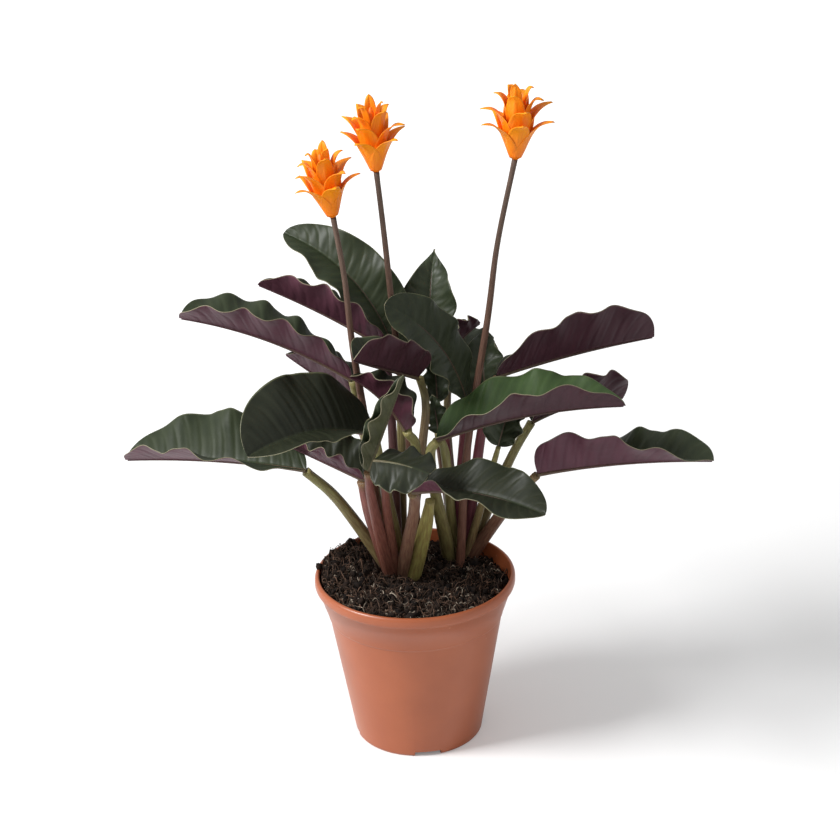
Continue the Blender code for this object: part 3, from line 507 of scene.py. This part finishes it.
# Streaks: fine lines along a stalk, and fine specks, both as a share from 0 to 1.
streaks, given, result = effect("streaks", [("Fineness", "Float", 24.0), ("Length", "Float", 1.2)],
                                [("Streak", "Float"), ("Speck", "Float")])
place = uv_place(streaks)
lengthwise = maths(streaks, "MULTIPLY", place[0], given["Length"])
sideways = maths(streaks, "MULTIPLY", place[1], given["Fineness"])
stretched = node(streaks, "ShaderNodeCombineXYZ", {0: lengthwise, 1: sideways}).outputs[0]
lines = node(streaks, "ShaderNodeTexNoise", {"Vector": stretched, "Scale": 1.0, "Detail": 3.0}).outputs[0]
streaks.links.new(ramp(streaks, lines, 0.35, 0.65), result["Streak"])
dots = node(streaks, "ShaderNodeTexNoise",
            {"Vector": object_place(streaks), "Scale": 1100.0, "Detail": 1.0}).outputs[0]
streaks.links.new(ramp(streaks, dots, 0.62, 0.72), result["Speck"])


def stalk_material(name, dark, roughness):
    """Flesh of a stalk: its tint, streaked darker along and finely specked."""
    made, tree, shader = material(name, Roughness=roughness, Specular_IOR_Level=0.4)
    tint = point_colour(tree, "tint")
    marks = node(tree, "ShaderNodeGroup", node_tree=streaks)
    shade = multiplied(tree, tint, dark)
    streaked = mixed(tree, maths(tree, "MULTIPLY", marks.outputs["Streak"], 0.75), tint, shade)
    specked = mixed(tree, maths(tree, "MULTIPLY", marks.outputs["Speck"], 0.35), streaked, shade)
    tree.links.new(specked, shader.inputs["Base Color"])
    bump(tree, shader, marks.outputs["Streak"], 0.35, 0.0004)
    return made


petiole = stalk_material("petiole", (0.62, 0.48, 0.50), 0.42)
for name, stalks, crown in (("petioles_left", LEFT_STALKS, LEFT_CROWN),
                            ("petioles_right", RIGHT_STALKS, RIGHT_CROWN)):
    parts = [stalk(points + [crown], radii, foot, top, 0.22, 0.4) for points, radii, foot, top in stalks]
    points, faces = joined([part[0] for part in parts])
    piece = surface("stalks_" + name.split("_")[1], points, faces, [petiole], stands_for=[name],
                    uv=np.concatenate([part[1].reshape(-1, 2) for part in parts]),
                    tint=np.concatenate([part[2].reshape(-1, 3) for part in parts]))


# The leaf blades: thin, firm, satin leaves with waved margins and shallow pleats between the side
# veins, dark olive green above and burgundy below, each grown from the end of its own petiole.
BLADE = 0.55
HALF_TIP = 0.5
DARK, GREEN, FRESH = (0.019, 0.023, 0.012), (0.029, 0.039, 0.018), (0.034, 0.064, 0.018)
WINE, PLUM, YOUNG = (0.050, 0.016, 0.024), (0.085, 0.030, 0.045), (0.075, 0.082, 0.040)
LEAVES = {
    "low_left": dict(base=(-62, 0, 174), tip=(-171, 30, 170), arch=3, width=72,
                     folds=((18, 42), (38, 34)), curl=(0, -10), outline=(0.6, 0.6), top=GREEN, under=PLUM),
    "front_left": dict(base=(-22, -5, 198), tip=(-91, -60, 211), arch=8, width=72,
                       folds=((10, 16), (60, 60)), spread=(0.88, 1.0), curl=(0, -10), outline=(0.5, 0.48),
                       wave=(1.5, 2.0), waves=(3, 3), top=DARK, under=PLUM),
    "long_left": dict(base=(-34, 16, 224), tip=(-133, 30, 260), arch=6, width=58,
                      folds=((58, 40), (12, 26)), curl=(0, -5), outline=(0.6, 0.42), waves=(5, 5),
                      top=GREEN, under=PLUM),
    "upper_left": dict(base=(-14, 16, 244), tip=(-86, 26, 281), arch=2, width=54,
                       folds=((50, 55), (12, 18)), outline=(0.6, 0.6), spread=(1.0, 0.75), top=DARK,
                       under=PLUM),
    "tall_left": dict(base=(-5, 49, 211), tip=(-73, 88, 290), arch=18, width=44, folds=(30, 30),
                      roll=(30, 30), outline=(0.6, 0.6), top=GREEN, under=WINE),
    "crest": dict(base=(13, 64, 238), tip=(17, 88, 277), arch=6, width=36, folds=(25, 25),
                  outline=(0.45, 1.3), waves=(2, 2), heading=80, top=GREEN, under=WINE),
    "arching": dict(base=(33, 25, 205), tip=(-13, 6, 274), arch=9, width=38, folds=(10, 10),
                    roll=(45, 60), outline=(0.5, 0.5), top=GREEN, under=WINE),
    "cup": dict(base=(5, 0, 231), tip=(-31, -32, 256), arch=0, width=44, folds=((60, 66), (80, 50)),
                outline=(0.18, 0.16), waves=(3, 3), spread=(1.0, 0.8), top=GREEN, under=WINE),
    "upper_right": dict(base=(51, 22, 221), tip=(146, 50, 232), arch=2, width=62, folds=(8, 70),
                        outline=(0.6, 0.42), top=DARK, under=WINE),
    "middle_right": dict(base=(15, -15, 198), tip=(122, -30, 223), arch=5, width=68,
                         folds=(25, (22, 60)), outline=(0.5, 0.7), top=FRESH, under=WINE),
    "low_right": dict(base=(74, 5, 165), tip=(175, -15, 180), arch=3, width=62,
                      folds=((-10, 32), (80, 20)), outline=(0.35, 0.5), top=GREEN, under=PLUM),
    "behind_right": dict(base=(72, 25, 190), tip=(128, 55, 190), arch=4, width=54, folds=(10, 60),
                         outline=(0.55, 0.42), top=DARK, under=WINE),
    "front_right": dict(base=(0, -38, 176), tip=(73, -88, 184), arch=6, width=45,
                        folds=(32, (50, -10)), outline=(0.6, 0.6), waves=(3, 3), top=DARK, under=PLUM),
    "young_curled": dict(base=(-25, -46, 194), tip=(-3, -46, 252), arch=0, width=21, folds=(80, 70),
                         roll=(-20, -20), top=GREEN, under=YOUNG),
    "young_lobed": dict(base=(-21, -56, 205), tip=(10, -74, 204), arch=2, width=36,
                        folds=(3, -35), outline=(0.3, 0.3), waves=(3, 3), top=DARK, under=YOUNG),
    "under_left": dict(base=(-28, -5, 169), tip=(-71, 10, 185), arch=0, width=46, folds=(45, 35),
                       top=DARK, under=PLUM),
    "shade_left": dict(base=(-36, 45, 200), tip=(-74, 60, 223), arch=0, width=46, folds=(60, 20),
                       top=DARK, under=PLUM),
    "back_right": dict(base=(46, 40, 195), tip=(45, 62, 233), arch=6, width=30, folds=(25, 25),
                       heading=75, top=GREEN, under=WINE),
    "small_back": dict(base=(24, 46, 226), tip=(43, 62, 239), arch=2, width=32, folds=(10, 70),
                       top=DARK, under=WINE),
    "small_striped": dict(base=(51, 5, 184), tip=(62, 20, 210), arch=4, width=26, folds=(30, 30),
                          heading=80, top=GREEN, under=WINE),
    "inner_narrow": dict(base=(16, 26, 204), tip=(13, 38, 235), arch=4, width=18, folds=(30, 30),
                         heading=100, top=GREEN, under=WINE),
    "inner_left": dict(base=(-3, -16, 205), tip=(-34, -6, 235), arch=4, width=44, folds=(60, 20),
                       top=DARK, under=WINE),
    "inner_small": dict(base=(16, 15, 189), tip=(13, 20, 211), arch=2, width=14, folds=(30, 30),
                        heading=100, top=GREEN, under=WINE),
    "back": dict(base=(36, 68, 200), tip=(34, 97, 222), arch=4, width=40, folds=(30, 30), heading=95,
                 top=GREEN, under=WINE),
}


def pair(value):
    """A pair, or one value for both ends."""
    return value if isinstance(value, tuple) else (value, value)


def blade_points(base, tip, arch, width, folds, rows, columns, outline=(0.55, 0.85), curl=(0, 0),
                 roll=(0, 0), wave=(2.5, 2.5), waves=(4, 4), heading=None, spread=(1.0, 1.0)):
    """A blade as rows along it and columns across it; angles in degrees, pairs from base to tip.

    Midrib: chord + arch * 4 u (1 - u) upwards. Half width: w u^p (1 - u)^q, scaled to peak at
    width / 2 times the half's spread. Across, a half is an arc that starts at its fold and turns by
    its curl. To this come the margin's wave, a finer ripple there, and pleats along the side veins."""
    u = (1.0 - np.cos(np.linspace(0.0, math.pi, rows))) / 2.0
    v = np.linspace(-1.0, 1.0, columns)
    base, tip = np.array(base, float), np.array(tip, float)
    chord = tip - base
    flat = np.array([chord[0], chord[1], 0.0])
    if heading is not None:
        flat = np.array([math.cos(math.radians(heading)), math.sin(math.radians(heading)), 0.0])
    flat = flat / np.linalg.norm(flat)
    side = np.array([flat[1], -flat[0], 0.0])
    up = np.cross(side, chord / np.linalg.norm(chord))
    up = up / np.linalg.norm(up)
    midrib = base + np.outer(u, chord) + np.outer(4.0 * u * (1.0 - u) * arch, up)
    along = chord + np.outer(4.0 * (1.0 - 2.0 * u) * arch, up)
    along = along / np.linalg.norm(along, axis=1, keepdims=True)
    across = side - along * (along @ side)[:, None]
    across = across / np.linalg.norm(across, axis=1, keepdims=True)
    normal = np.cross(across, along)
    turn = np.radians(roll[0] + (roll[1] - roll[0]) * u)[:, None]
    across, normal = (across * np.cos(turn) + normal * np.sin(turn),
                      normal * np.cos(turn) - across * np.sin(turn))
    p, q = outline
    peak = p / (p + q)
    half = np.maximum(width / 2 * (u / peak) ** p * ((1.0 - u) / (1.0 - peak)) ** q, HALF_TIP)[:, None]
    length = np.linalg.norm(chord)
    uu, reach = u[:, None], np.abs(v)[None, :]
    which = (v >= 0.0).astype(int)
    starts, ends = np.array([pair(fold) for fold in folds], float), np.array([pair(c) for c in curl], float)
    start = np.radians(starts[which, 0] + (starts[which, 1] - starts[which, 0]) * uu)
    bend = np.radians(ends[which, 0] + (ends[which, 1] - ends[which, 0]) * uu) + 1e-6
    end = start + bend * reach
    wide = half * np.array(spread)[which]
    out = (np.sin(end) - np.sin(start)) / bend * wide
    lift = (np.cos(start) - np.cos(end)) / bend * wide
    taper = np.sqrt(np.sin(math.pi * uu).clip(0.0))
    ripple = np.array(wave)[which] * np.sin(2 * math.pi * (np.array(waves)[which] * uu + 0.3 * which))
    ripple = ripple * reach ** 2.2 * taper
    fine = 0.5 * np.sin(2 * math.pi * (length / 13.0 * uu + 0.37 * which + 0.35 * np.sin(9.0 * uu + which)))
    fine = fine * (0.6 + 0.5 * np.sin(13.0 * uu + 2.0 * which))
    ripple = ripple + fine * reach ** 5 * taper
    veins = length * uu / 5.2 - 1.5 * reach ** 1.3 * half / 30.0
    ripple = ripple + 0.18 * np.cos(2 * math.pi * veins) * np.sin(math.pi * reach.clip(0, 1)) ** 0.7 * taper
    ripple = ripple - 0.5 * np.exp(-(reach * half / 1.4) ** 2) * taper
    out = out - np.sin(end) * ripple
    lift = lift + np.cos(end) * ripple
    sign = np.sign(v)[None, :, None]
    sheet = midrib[:, None] + sign * out[..., None] * across[:, None] + lift[..., None] * normal[:, None]
    return sheet, midrib, normal


def shell(sheet, thickness):
    """A sheet given two sides and a rim: its points, faces, and 0, 1 or 2 for top, underside, rim.

    The two sides lie half the thickness out along the sheet's normal, and closer at the rim."""
    rows, columns = sheet.shape[:2]
    normal = np.cross(np.gradient(sheet, axis=1), np.gradient(sheet, axis=0))
    normal = normal / np.maximum(np.linalg.norm(normal, axis=-1, keepdims=True), 1e-9)
    edge = np.abs(np.linspace(-1, 1, columns))[None, :, None]
    offset = normal * thickness / 2 * (1.0 - 0.45 * edge ** 8)
    points = np.concatenate([(sheet + offset).reshape(-1, 3), (sheet - offset).reshape(-1, 3)])
    top = grid_faces(rows, columns)
    half = rows * columns
    index = np.arange(half).reshape(rows, columns)
    ring = np.concatenate([index[0, :-1], index[:-1, -1], index[-1, :0:-1], index[:0:-1, 0]])
    following = np.roll(ring, -1)
    rim = np.stack([ring + half, following + half, following, ring], -1)
    faces = np.concatenate([top, top[:, ::-1] + half, rim])
    return points, faces, np.repeat([0, 1, 2], [len(top), len(top), len(rim)])


# Leaf veins: side veins that leave the midrib and bend towards the tip. Side is 0 to 1 across the
# blade, Length is in decimetres. Vein and Band are shares, Edge is 1 in the thin margin line.
veining, given, result = effect(
    "leaf_veins", [("Spacing", "Float", 14.0)],
    [("Vein", "Float"), ("Band", "Float"), ("Edge", "Float"), ("Rib", "Float"), ("Cloud", "Float")])
place = uv_place(veining)
reach = maths(veining, "ABSOLUTE", maths(veining, "SUBTRACT", maths(veining, "MULTIPLY", place[1], 2.0), 1.0))
cloud = node(veining, "ShaderNodeTexNoise",
             {"Vector": object_place(veining), "Scale": 60.0, "Detail": 3.0}).outputs[0]
count = maths(veining, "MULTIPLY", place[0], given["Spacing"])
bent = maths(veining, "MULTIPLY", maths(veining, "POWER", reach, 1.3), 1.5)
drift = maths(veining, "MULTIPLY", cloud, 0.25)
phase = maths(veining, "ADD", maths(veining, "SUBTRACT", count, bent), drift)
wavy = maths(veining, "SINE", maths(veining, "MULTIPLY", phase, 2 * math.pi))
band = maths(veining, "MULTIPLY", maths(veining, "ADD", wavy, 1.0), 0.5)
veining.links.new(band, result["Band"])
veining.links.new(maths(veining, "POWER", band, 4.0), result["Vein"])
veining.links.new(ramp(veining, reach, 0.965, 0.99), result["Edge"])
veining.links.new(maths(veining, "SUBTRACT", 1.0, ramp(veining, reach, 0.02, 0.07)), result["Rib"])
veining.links.new(ramp(veining, cloud, 0.3, 0.7), result["Cloud"])


def leaf_side(name, attribute, light, dark, line, rib, rib_share, roughness, strength):
    """One side of a leaf: its tint, lighter along the side veins, clouded, with a thin pale margin."""
    made, tree, shader = material(name, Roughness=roughness, Specular_IOR_Level=0.32)
    tint = point_colour(tree, attribute)
    veins = node(tree, "ShaderNodeGroup", node_tree=veining)
    colour = mixed(tree, veins.outputs["Cloud"], multiplied(tree, tint, dark), tint)
    banded = maths(tree, "MULTIPLY", veins.outputs["Band"], 0.3)
    colour = mixed(tree, banded, colour, multiplied(tree, tint, light))
    colour = mixed(tree, maths(tree, "MULTIPLY", veins.outputs["Rib"], rib_share), colour, (*rib, 1))
    colour = mixed(tree, maths(tree, "MULTIPLY", veins.outputs["Edge"], 0.55), colour, (*line, 1))
    tree.links.new(colour, shader.inputs["Base Color"])
    sunk = maths(tree, "MULTIPLY", veins.outputs["Vein"], 1.1)
    height = maths(tree, "SUBTRACT", veins.outputs["Cloud"], sunk)
    bump(tree, shader, height, strength, 0.0005)
    return made


leaf_top = leaf_side("leaf_top", "tint", (1.6, 1.5, 1.5), (0.7, 0.75, 0.7), (0.16, 0.17, 0.09),
                     (0.055, 0.075, 0.035), 0.2, 0.46, 0.3)
leaf_under = leaf_side("leaf_under", "under", (0.8, 0.78, 0.82), (1.25, 1.15, 1.2), (0.20, 0.15, 0.11),
                       (0.12, 0.06, 0.06), 0.4, 0.5, 0.35)
leaf_margin, tree, shader = material("leaf_margin", Roughness=0.5)
tone = toned(tree, (0.27, 0.245, 0.15, 1), (0.15, 0.13, 0.07))
tree.links.new(tone.outputs["Colour"], shader.inputs["Base Color"])
RIB_ROWS, RIB_SIDES = 40, 8
LONG_FROM = 60.0
LONG_GRID, SHORT_GRID = (128, 41), (72, 29)

for name, shape in LEAVES.items():
    shape = dict(shape)
    top, under = shape.pop("top"), shape.pop("under")
    length = np.linalg.norm(np.array(shape["tip"]) - np.array(shape["base"]))
    rows, columns = LONG_GRID if length > LONG_FROM else SHORT_GRID
    sheet, midrib, normal = blade_points(rows=rows, columns=columns, **shape)
    points, faces, slots = shell(sheet, BLADE)
    along = np.concatenate([[0], np.cumsum(np.linalg.norm(np.diff(midrib, axis=0), axis=1))]) / 100.0
    uv = np.stack(np.broadcast_arrays(along[:, None], np.linspace(0, 1, columns)[None, :]), -1).reshape(-1, 2)
    uv = np.concatenate([uv, uv])
    path = (midrib - 0.7 * normal)[np.linspace(0, int(0.93 * rows), RIB_ROWS).astype(int)]
    rib = capped(tube_points(path, np.linspace(1.3, 0.3, RIB_ROWS), RIB_SIDES))
    rib_uv = np.stack(np.broadcast_arrays(np.linspace(0, 5, RIB_ROWS + 2)[:, None],
                                          np.linspace(0, 1, RIB_SIDES)[None, :]), -1)
    rib_faces = grid_faces(RIB_ROWS + 2, RIB_SIDES, True)
    fade = np.linspace(0, 1, RIB_ROWS + 2)[:, None, None] ** 0.6 + 0.0 * rib
    rib_tint = np.array([0.15, 0.12, 0.055]) * (1 - fade) + 1.3 * np.array(under) * fade
    blade = surface("leaf_" + name, np.concatenate([points, rib.reshape(-1, 3)]),
                    np.concatenate([faces, rib_faces + len(points)]),
                    [leaf_top, leaf_under, leaf_margin, petiole],
                    np.concatenate([slots, np.full(len(rib_faces), 3)]), stands_for=["blade_" + name],
                    uv=np.concatenate([uv, rib_uv.reshape(-1, 2)]),
                    tint=np.concatenate([np.array(top) + 0.0 * points, rib_tint.reshape(-1, 3)]),
                    under=np.concatenate([np.array(under) + 0.0 * points, rib_tint.reshape(-1, 3)]))


# The flower stems: slender, straight and finely downy, purple-grey under the head and tan to
# reddish brown below, each standing in the peat between the petioles.
STEMS = {
    "left": [(-40, 0, 329.6), (-35, -4, 295), (-32, 0, 252), (-26, 13, 192), (-19, 25, 98), (-19, 26, 86)],
    "middle": [(-15, 0, 355.6), (-12, 5, 318), (-7, 18, 245), (-2, 20, 195), (3, 28, 98), (4, 30, 86)],
    "right": [(62, 0, 360.6), (52, 10, 307), (46, 16, 259), (33, 20, 175), (28, 24, 104), (27, 23, 88)],
}
STEM_RADII = (1.5, 1.6, 1.9, 2.3, 2.8, 2.8)
stem_flesh = stalk_material("flower_stem", (0.55, 0.5, 0.5), 0.6)
for name, path in STEMS.items():
    tube, uv, tint = stalk(path, STEM_RADII, (0.23, 0.095, 0.060), (0.130, 0.082, 0.058), 0.0, 0.0)
    piece = surface("stem_" + name, *joined([tube]), [stem_flesh], stands_for=["flower_stem_" + name],
                    uv=uv, tint=tint)


# The flower heads: waxy orange bracts in tiers that clasp one another like a cup, each with a
# pointed tip that bends outwards, on a short cone at the end of the stem.
BRACT = 0.5
DEEP_ORANGE, ORANGE, YELLOW_ORANGE = (0.86, 0.19, 0.004), (0.88, 0.205, 0.004), (0.98, 0.37, 0.010)
TIERS = [
    dict(count=5, turn=0.0, foot=(3.2, 1.0), side=(7.2, 10.0), bend=(8.4, 22.5), tip=(20.0, 23.0),
         half=9.5),
    dict(count=4, turn=40.0, foot=(5.0, 8.0), side=(8.2, 19.0), bend=(7.8, 31.0), tip=(19.5, 31.0),
         half=9.6),
    dict(count=4, turn=15.0, foot=(4.5, 16.0), side=(7.0, 27.0), bend=(6.2, 38.0), tip=(13.0, 37.0),
         half=7.6),
    dict(count=3, turn=70.0, foot=(3.0, 24.0), side=(5.4, 34.0), bend=(4.4, 42.4), tip=(7.6, 42.0),
         half=5.2),
]
CORE = [(0.0, 0.2), (2.0, 0.0), (2.6, 0.6), (4.2, 5.0), (6.0, 13.0), (5.0, 24.0), (2.4, 33.0), (0.8, 38.6),
        (0.0, 39.0)]
HEADS = [("left", (-40.2, 0.0, 330.0), -9.0, 0.0, 0.96), ("middle", (-15.1, 0.0, 355.9), -3.0, 25.0, 0.95),
         ("right", (62.2, 0.0, 361.0), 3.0, 60.0, 1.0)]


def bract_points(foot, side, bend, tip, half, rows=26, columns=15):
    """A bract towards +x: a cubic midline foot, side, bend, tip, wrapped round z.

    Its half width is half (0.75 + 1.1 t)(1 - t)^0.9, its keel stands out and its edges roll back."""
    t = np.linspace(0.0, 1.0, rows)[:, None]
    a, b, c, d = (np.array(p, float) for p in (foot, side, bend, tip))
    middle = (1 - t) ** 3 * a + 3 * (1 - t) ** 2 * t * b + 3 * (1 - t) * t * t * c + t ** 3 * d
    w = np.maximum(half * (0.75 + 1.1 * t) * (1.0 - t) ** 0.9, 0.15)
    v = np.linspace(-1.0, 1.0, columns)[None, :]
    hug = np.maximum(middle[:, :1], 3.0) * (1.0 + 0.5 * t)
    angle = v * np.minimum(w / hug, 1.35)
    keel = 0.5 * np.exp(-(v / 0.18) ** 2) * np.sin(math.pi * t) + 0.9 * t * v ** 4
    x = middle[:, :1] + hug * (np.cos(angle) - 1.0) + keel
    y = hug * np.sin(angle)
    z = middle[:, 1:] + 0.8 * (v * w / half) ** 2 + 0.25 * np.sin(7 * t + 3 * v) * t
    return np.stack([x, y, z], -1)


waxy, tree, shader = material("bract", Roughness=0.42, Specular_IOR_Level=0.3)
tint = point_colour(tree, "tint")
marks = node(tree, "ShaderNodeGroup", {"Fineness": 14.0, "Length": 3.0}, node_tree=streaks)
streak = maths(tree, "MULTIPLY", marks.outputs["Streak"], 0.5)
streaky = mixed(tree, streak, tint, multiplied(tree, tint, (1.0, 0.72, 0.5)))
tree.links.new(streaky, shader.inputs["Base Color"])
bump(tree, shader, marks.outputs["Streak"], 0.25, 0.0003)

for name, place, lean, spin, size in HEADS:
    turn = np.linspace(0, 2 * math.pi, 24, endpoint=False)[None, :]
    line = np.array(CORE)
    radius, height = line[:, :1], line[:, 1:]
    core = np.stack(np.broadcast_arrays(radius * np.cos(turn), radius * np.sin(turn), height), -1)
    points, faces = joined([core])
    uv = np.stack(np.broadcast_arrays(np.linspace(0, 3, len(line))[:, None], turn / 6.3), -1).reshape(-1, 2)
    tints = np.array(DEEP_ORANGE) + 0.0 * points
    parts = [(points, faces, uv, tints)]
    for number, tier in enumerate(TIERS):
        for k in range(tier["count"]):
            about = math.radians(tier["turn"] + spin + 360.0 * k / tier["count"])
            grow = 1.0 + 0.06 * math.sin(2.3 * k + 1.7 * number + spin)
            tip = (tier["tip"][0] * grow, tier["tip"][1] * (2.0 - grow))
            sheet = bract_points(tier["foot"], tier["side"], tier["bend"], tip, tier["half"])
            c, s = math.cos(about), math.sin(about)
            sheet = sheet @ np.array([[c, s, 0.0], [-s, c, 0.0], [0.0, 0.0, 1.0]])
            points, faces, sides = shell(sheet[:, ::-1], BRACT)
            t = np.linspace(0, 1, sheet.shape[0])[:, None, None]
            across = np.linspace(0, 1, sheet.shape[1])[None, :]
            uv = np.stack(np.broadcast_arrays(3 * t[..., 0], across), -1)
            fresh = np.array(ORANGE) * (1 - t) + np.array(YELLOW_ORANGE) * t
            fresh = (fresh * (1 - 0.1 * np.sin(4.1 * k + number)) + 0.0 * sheet).reshape(-1, 3)
            parts.append((points, faces, np.concatenate([uv.reshape(-1, 2)] * 2),
                          np.concatenate([fresh] * 2)))
    starts = np.cumsum([0] + [len(part[0]) for part in parts[:-1]])
    x, y, z = size * np.concatenate([part[0] for part in parts]).T
    c, s = math.cos(math.radians(lean)), math.sin(math.radians(lean))
    head = np.stack([c * x + s * z + place[0], y + place[1], c * z - s * x + place[2]], -1)
    faces = np.concatenate([part[1] + at for part, at in zip(parts, starts)])
    piece = surface("flower_" + name, head, faces, [waxy], stands_for=["flower_head_" + name],
                    uv=np.concatenate([part[2] for part in parts]),
                    tint=np.concatenate([part[3] for part in parts]))


# The studio: a white floor with a painted glow, seen only by the camera, that grows towards the back
# so that it runs into the white beyond, a broad soft window of light at the left, a weaker fill, and a long
# lens that looks down a little.
FLOOR = 6.0
floor_mesh = bpy.data.meshes.new("floor")
corners = [(-FLOOR, -FLOOR, 0), (FLOOR, -FLOOR, 0), (FLOOR, FLOOR, 0), (-FLOOR, FLOOR, 0)]
floor_mesh.from_pydata(corners, [], [(0, 1, 2, 3)])
floor = bpy.data.objects.new("floor", floor_mesh)
bpy.context.scene.collection.objects.link(floor)
paper, tree, shader = material("white_paper", Roughness=0.9, Specular_IOR_Level=0.1)
shader.inputs["Base Color"].default_value = (0.86, 0.86, 0.86, 1)
# Painted light: the floor glows for the camera only, at 0.14 near the pot and up to 0.64 from 0.1 to 1.6 m
# towards the back.
shader.inputs["Emission Color"].default_value = (1, 1, 1, 1)
seen = node(tree, "ShaderNodeLightPath").outputs["Is Camera Ray"]
depth = node(tree, "ShaderNodeSeparateXYZ", {0: object_place(tree)}).outputs[1]
painted_floor_glow = maths(tree, "ADD", maths(tree, "MULTIPLY", ramp(tree, depth, 0.1, 1.6), 0.5), 0.14)
tree.links.new(maths(tree, "MULTIPLY", seen, painted_floor_glow), shader.inputs["Emission Strength"])
floor_mesh.materials.append(paper)

world = bpy.data.worlds.new("studio")
world.use_nodes = True
sky = world.node_tree.nodes["Background"]
sky.inputs["Color"].default_value = (1, 1, 1, 1)
seen = node(world.node_tree, "ShaderNodeLightPath").outputs["Is Camera Ray"]
bright = maths(world.node_tree, "ADD", maths(world.node_tree, "MULTIPLY", seen, 0.6), 0.52)
world.node_tree.links.new(bright, sky.inputs["Strength"])
bpy.context.scene.world = world
bpy.context.scene.view_settings.view_transform = "Standard"
for name, place, power, size in (("window", (-1.45, -0.45, 1.45), 46.0, 0.7),
                                 ("fill", (1.4, -1.2, 0.9), 1.5, 1.2)):
    lamp = bpy.data.lights.new(name, "AREA")
    lamp.energy, lamp.size = power, size
    stand = bpy.data.objects.new(name, lamp)
    stand.location = place
    stand.rotation_euler = (Vector((0, 0, 0.2)) - Vector(place)).to_track_quat("-Z", "Y").to_euler()
    bpy.context.scene.collection.objects.link(stand)

SENSOR = 36.0
LENS = 2410.0 / 840.0 * SENSOR
DISTANCE = 1.40
ELEVATION = math.radians(24.0)
TARGET = Vector((0.0055, 0.0, 0.204))
ROLL = math.radians(-1.55)
lens = bpy.data.cameras.new("camera")
lens.lens, lens.sensor_width, lens.clip_end = LENS, SENSOR, 50.0
camera = bpy.data.objects.new("camera", lens)
camera.location = TARGET + DISTANCE * Vector((0.0, -math.cos(ELEVATION), math.sin(ELEVATION)))
aim = (TARGET - camera.location).to_track_quat("-Z", "Y") @ Quaternion((0.0, 0.0, 1.0), ROLL)
camera.rotation_euler = aim.to_euler()
bpy.context.scene.collection.objects.link(camera)
bpy.context.scene.camera = camera
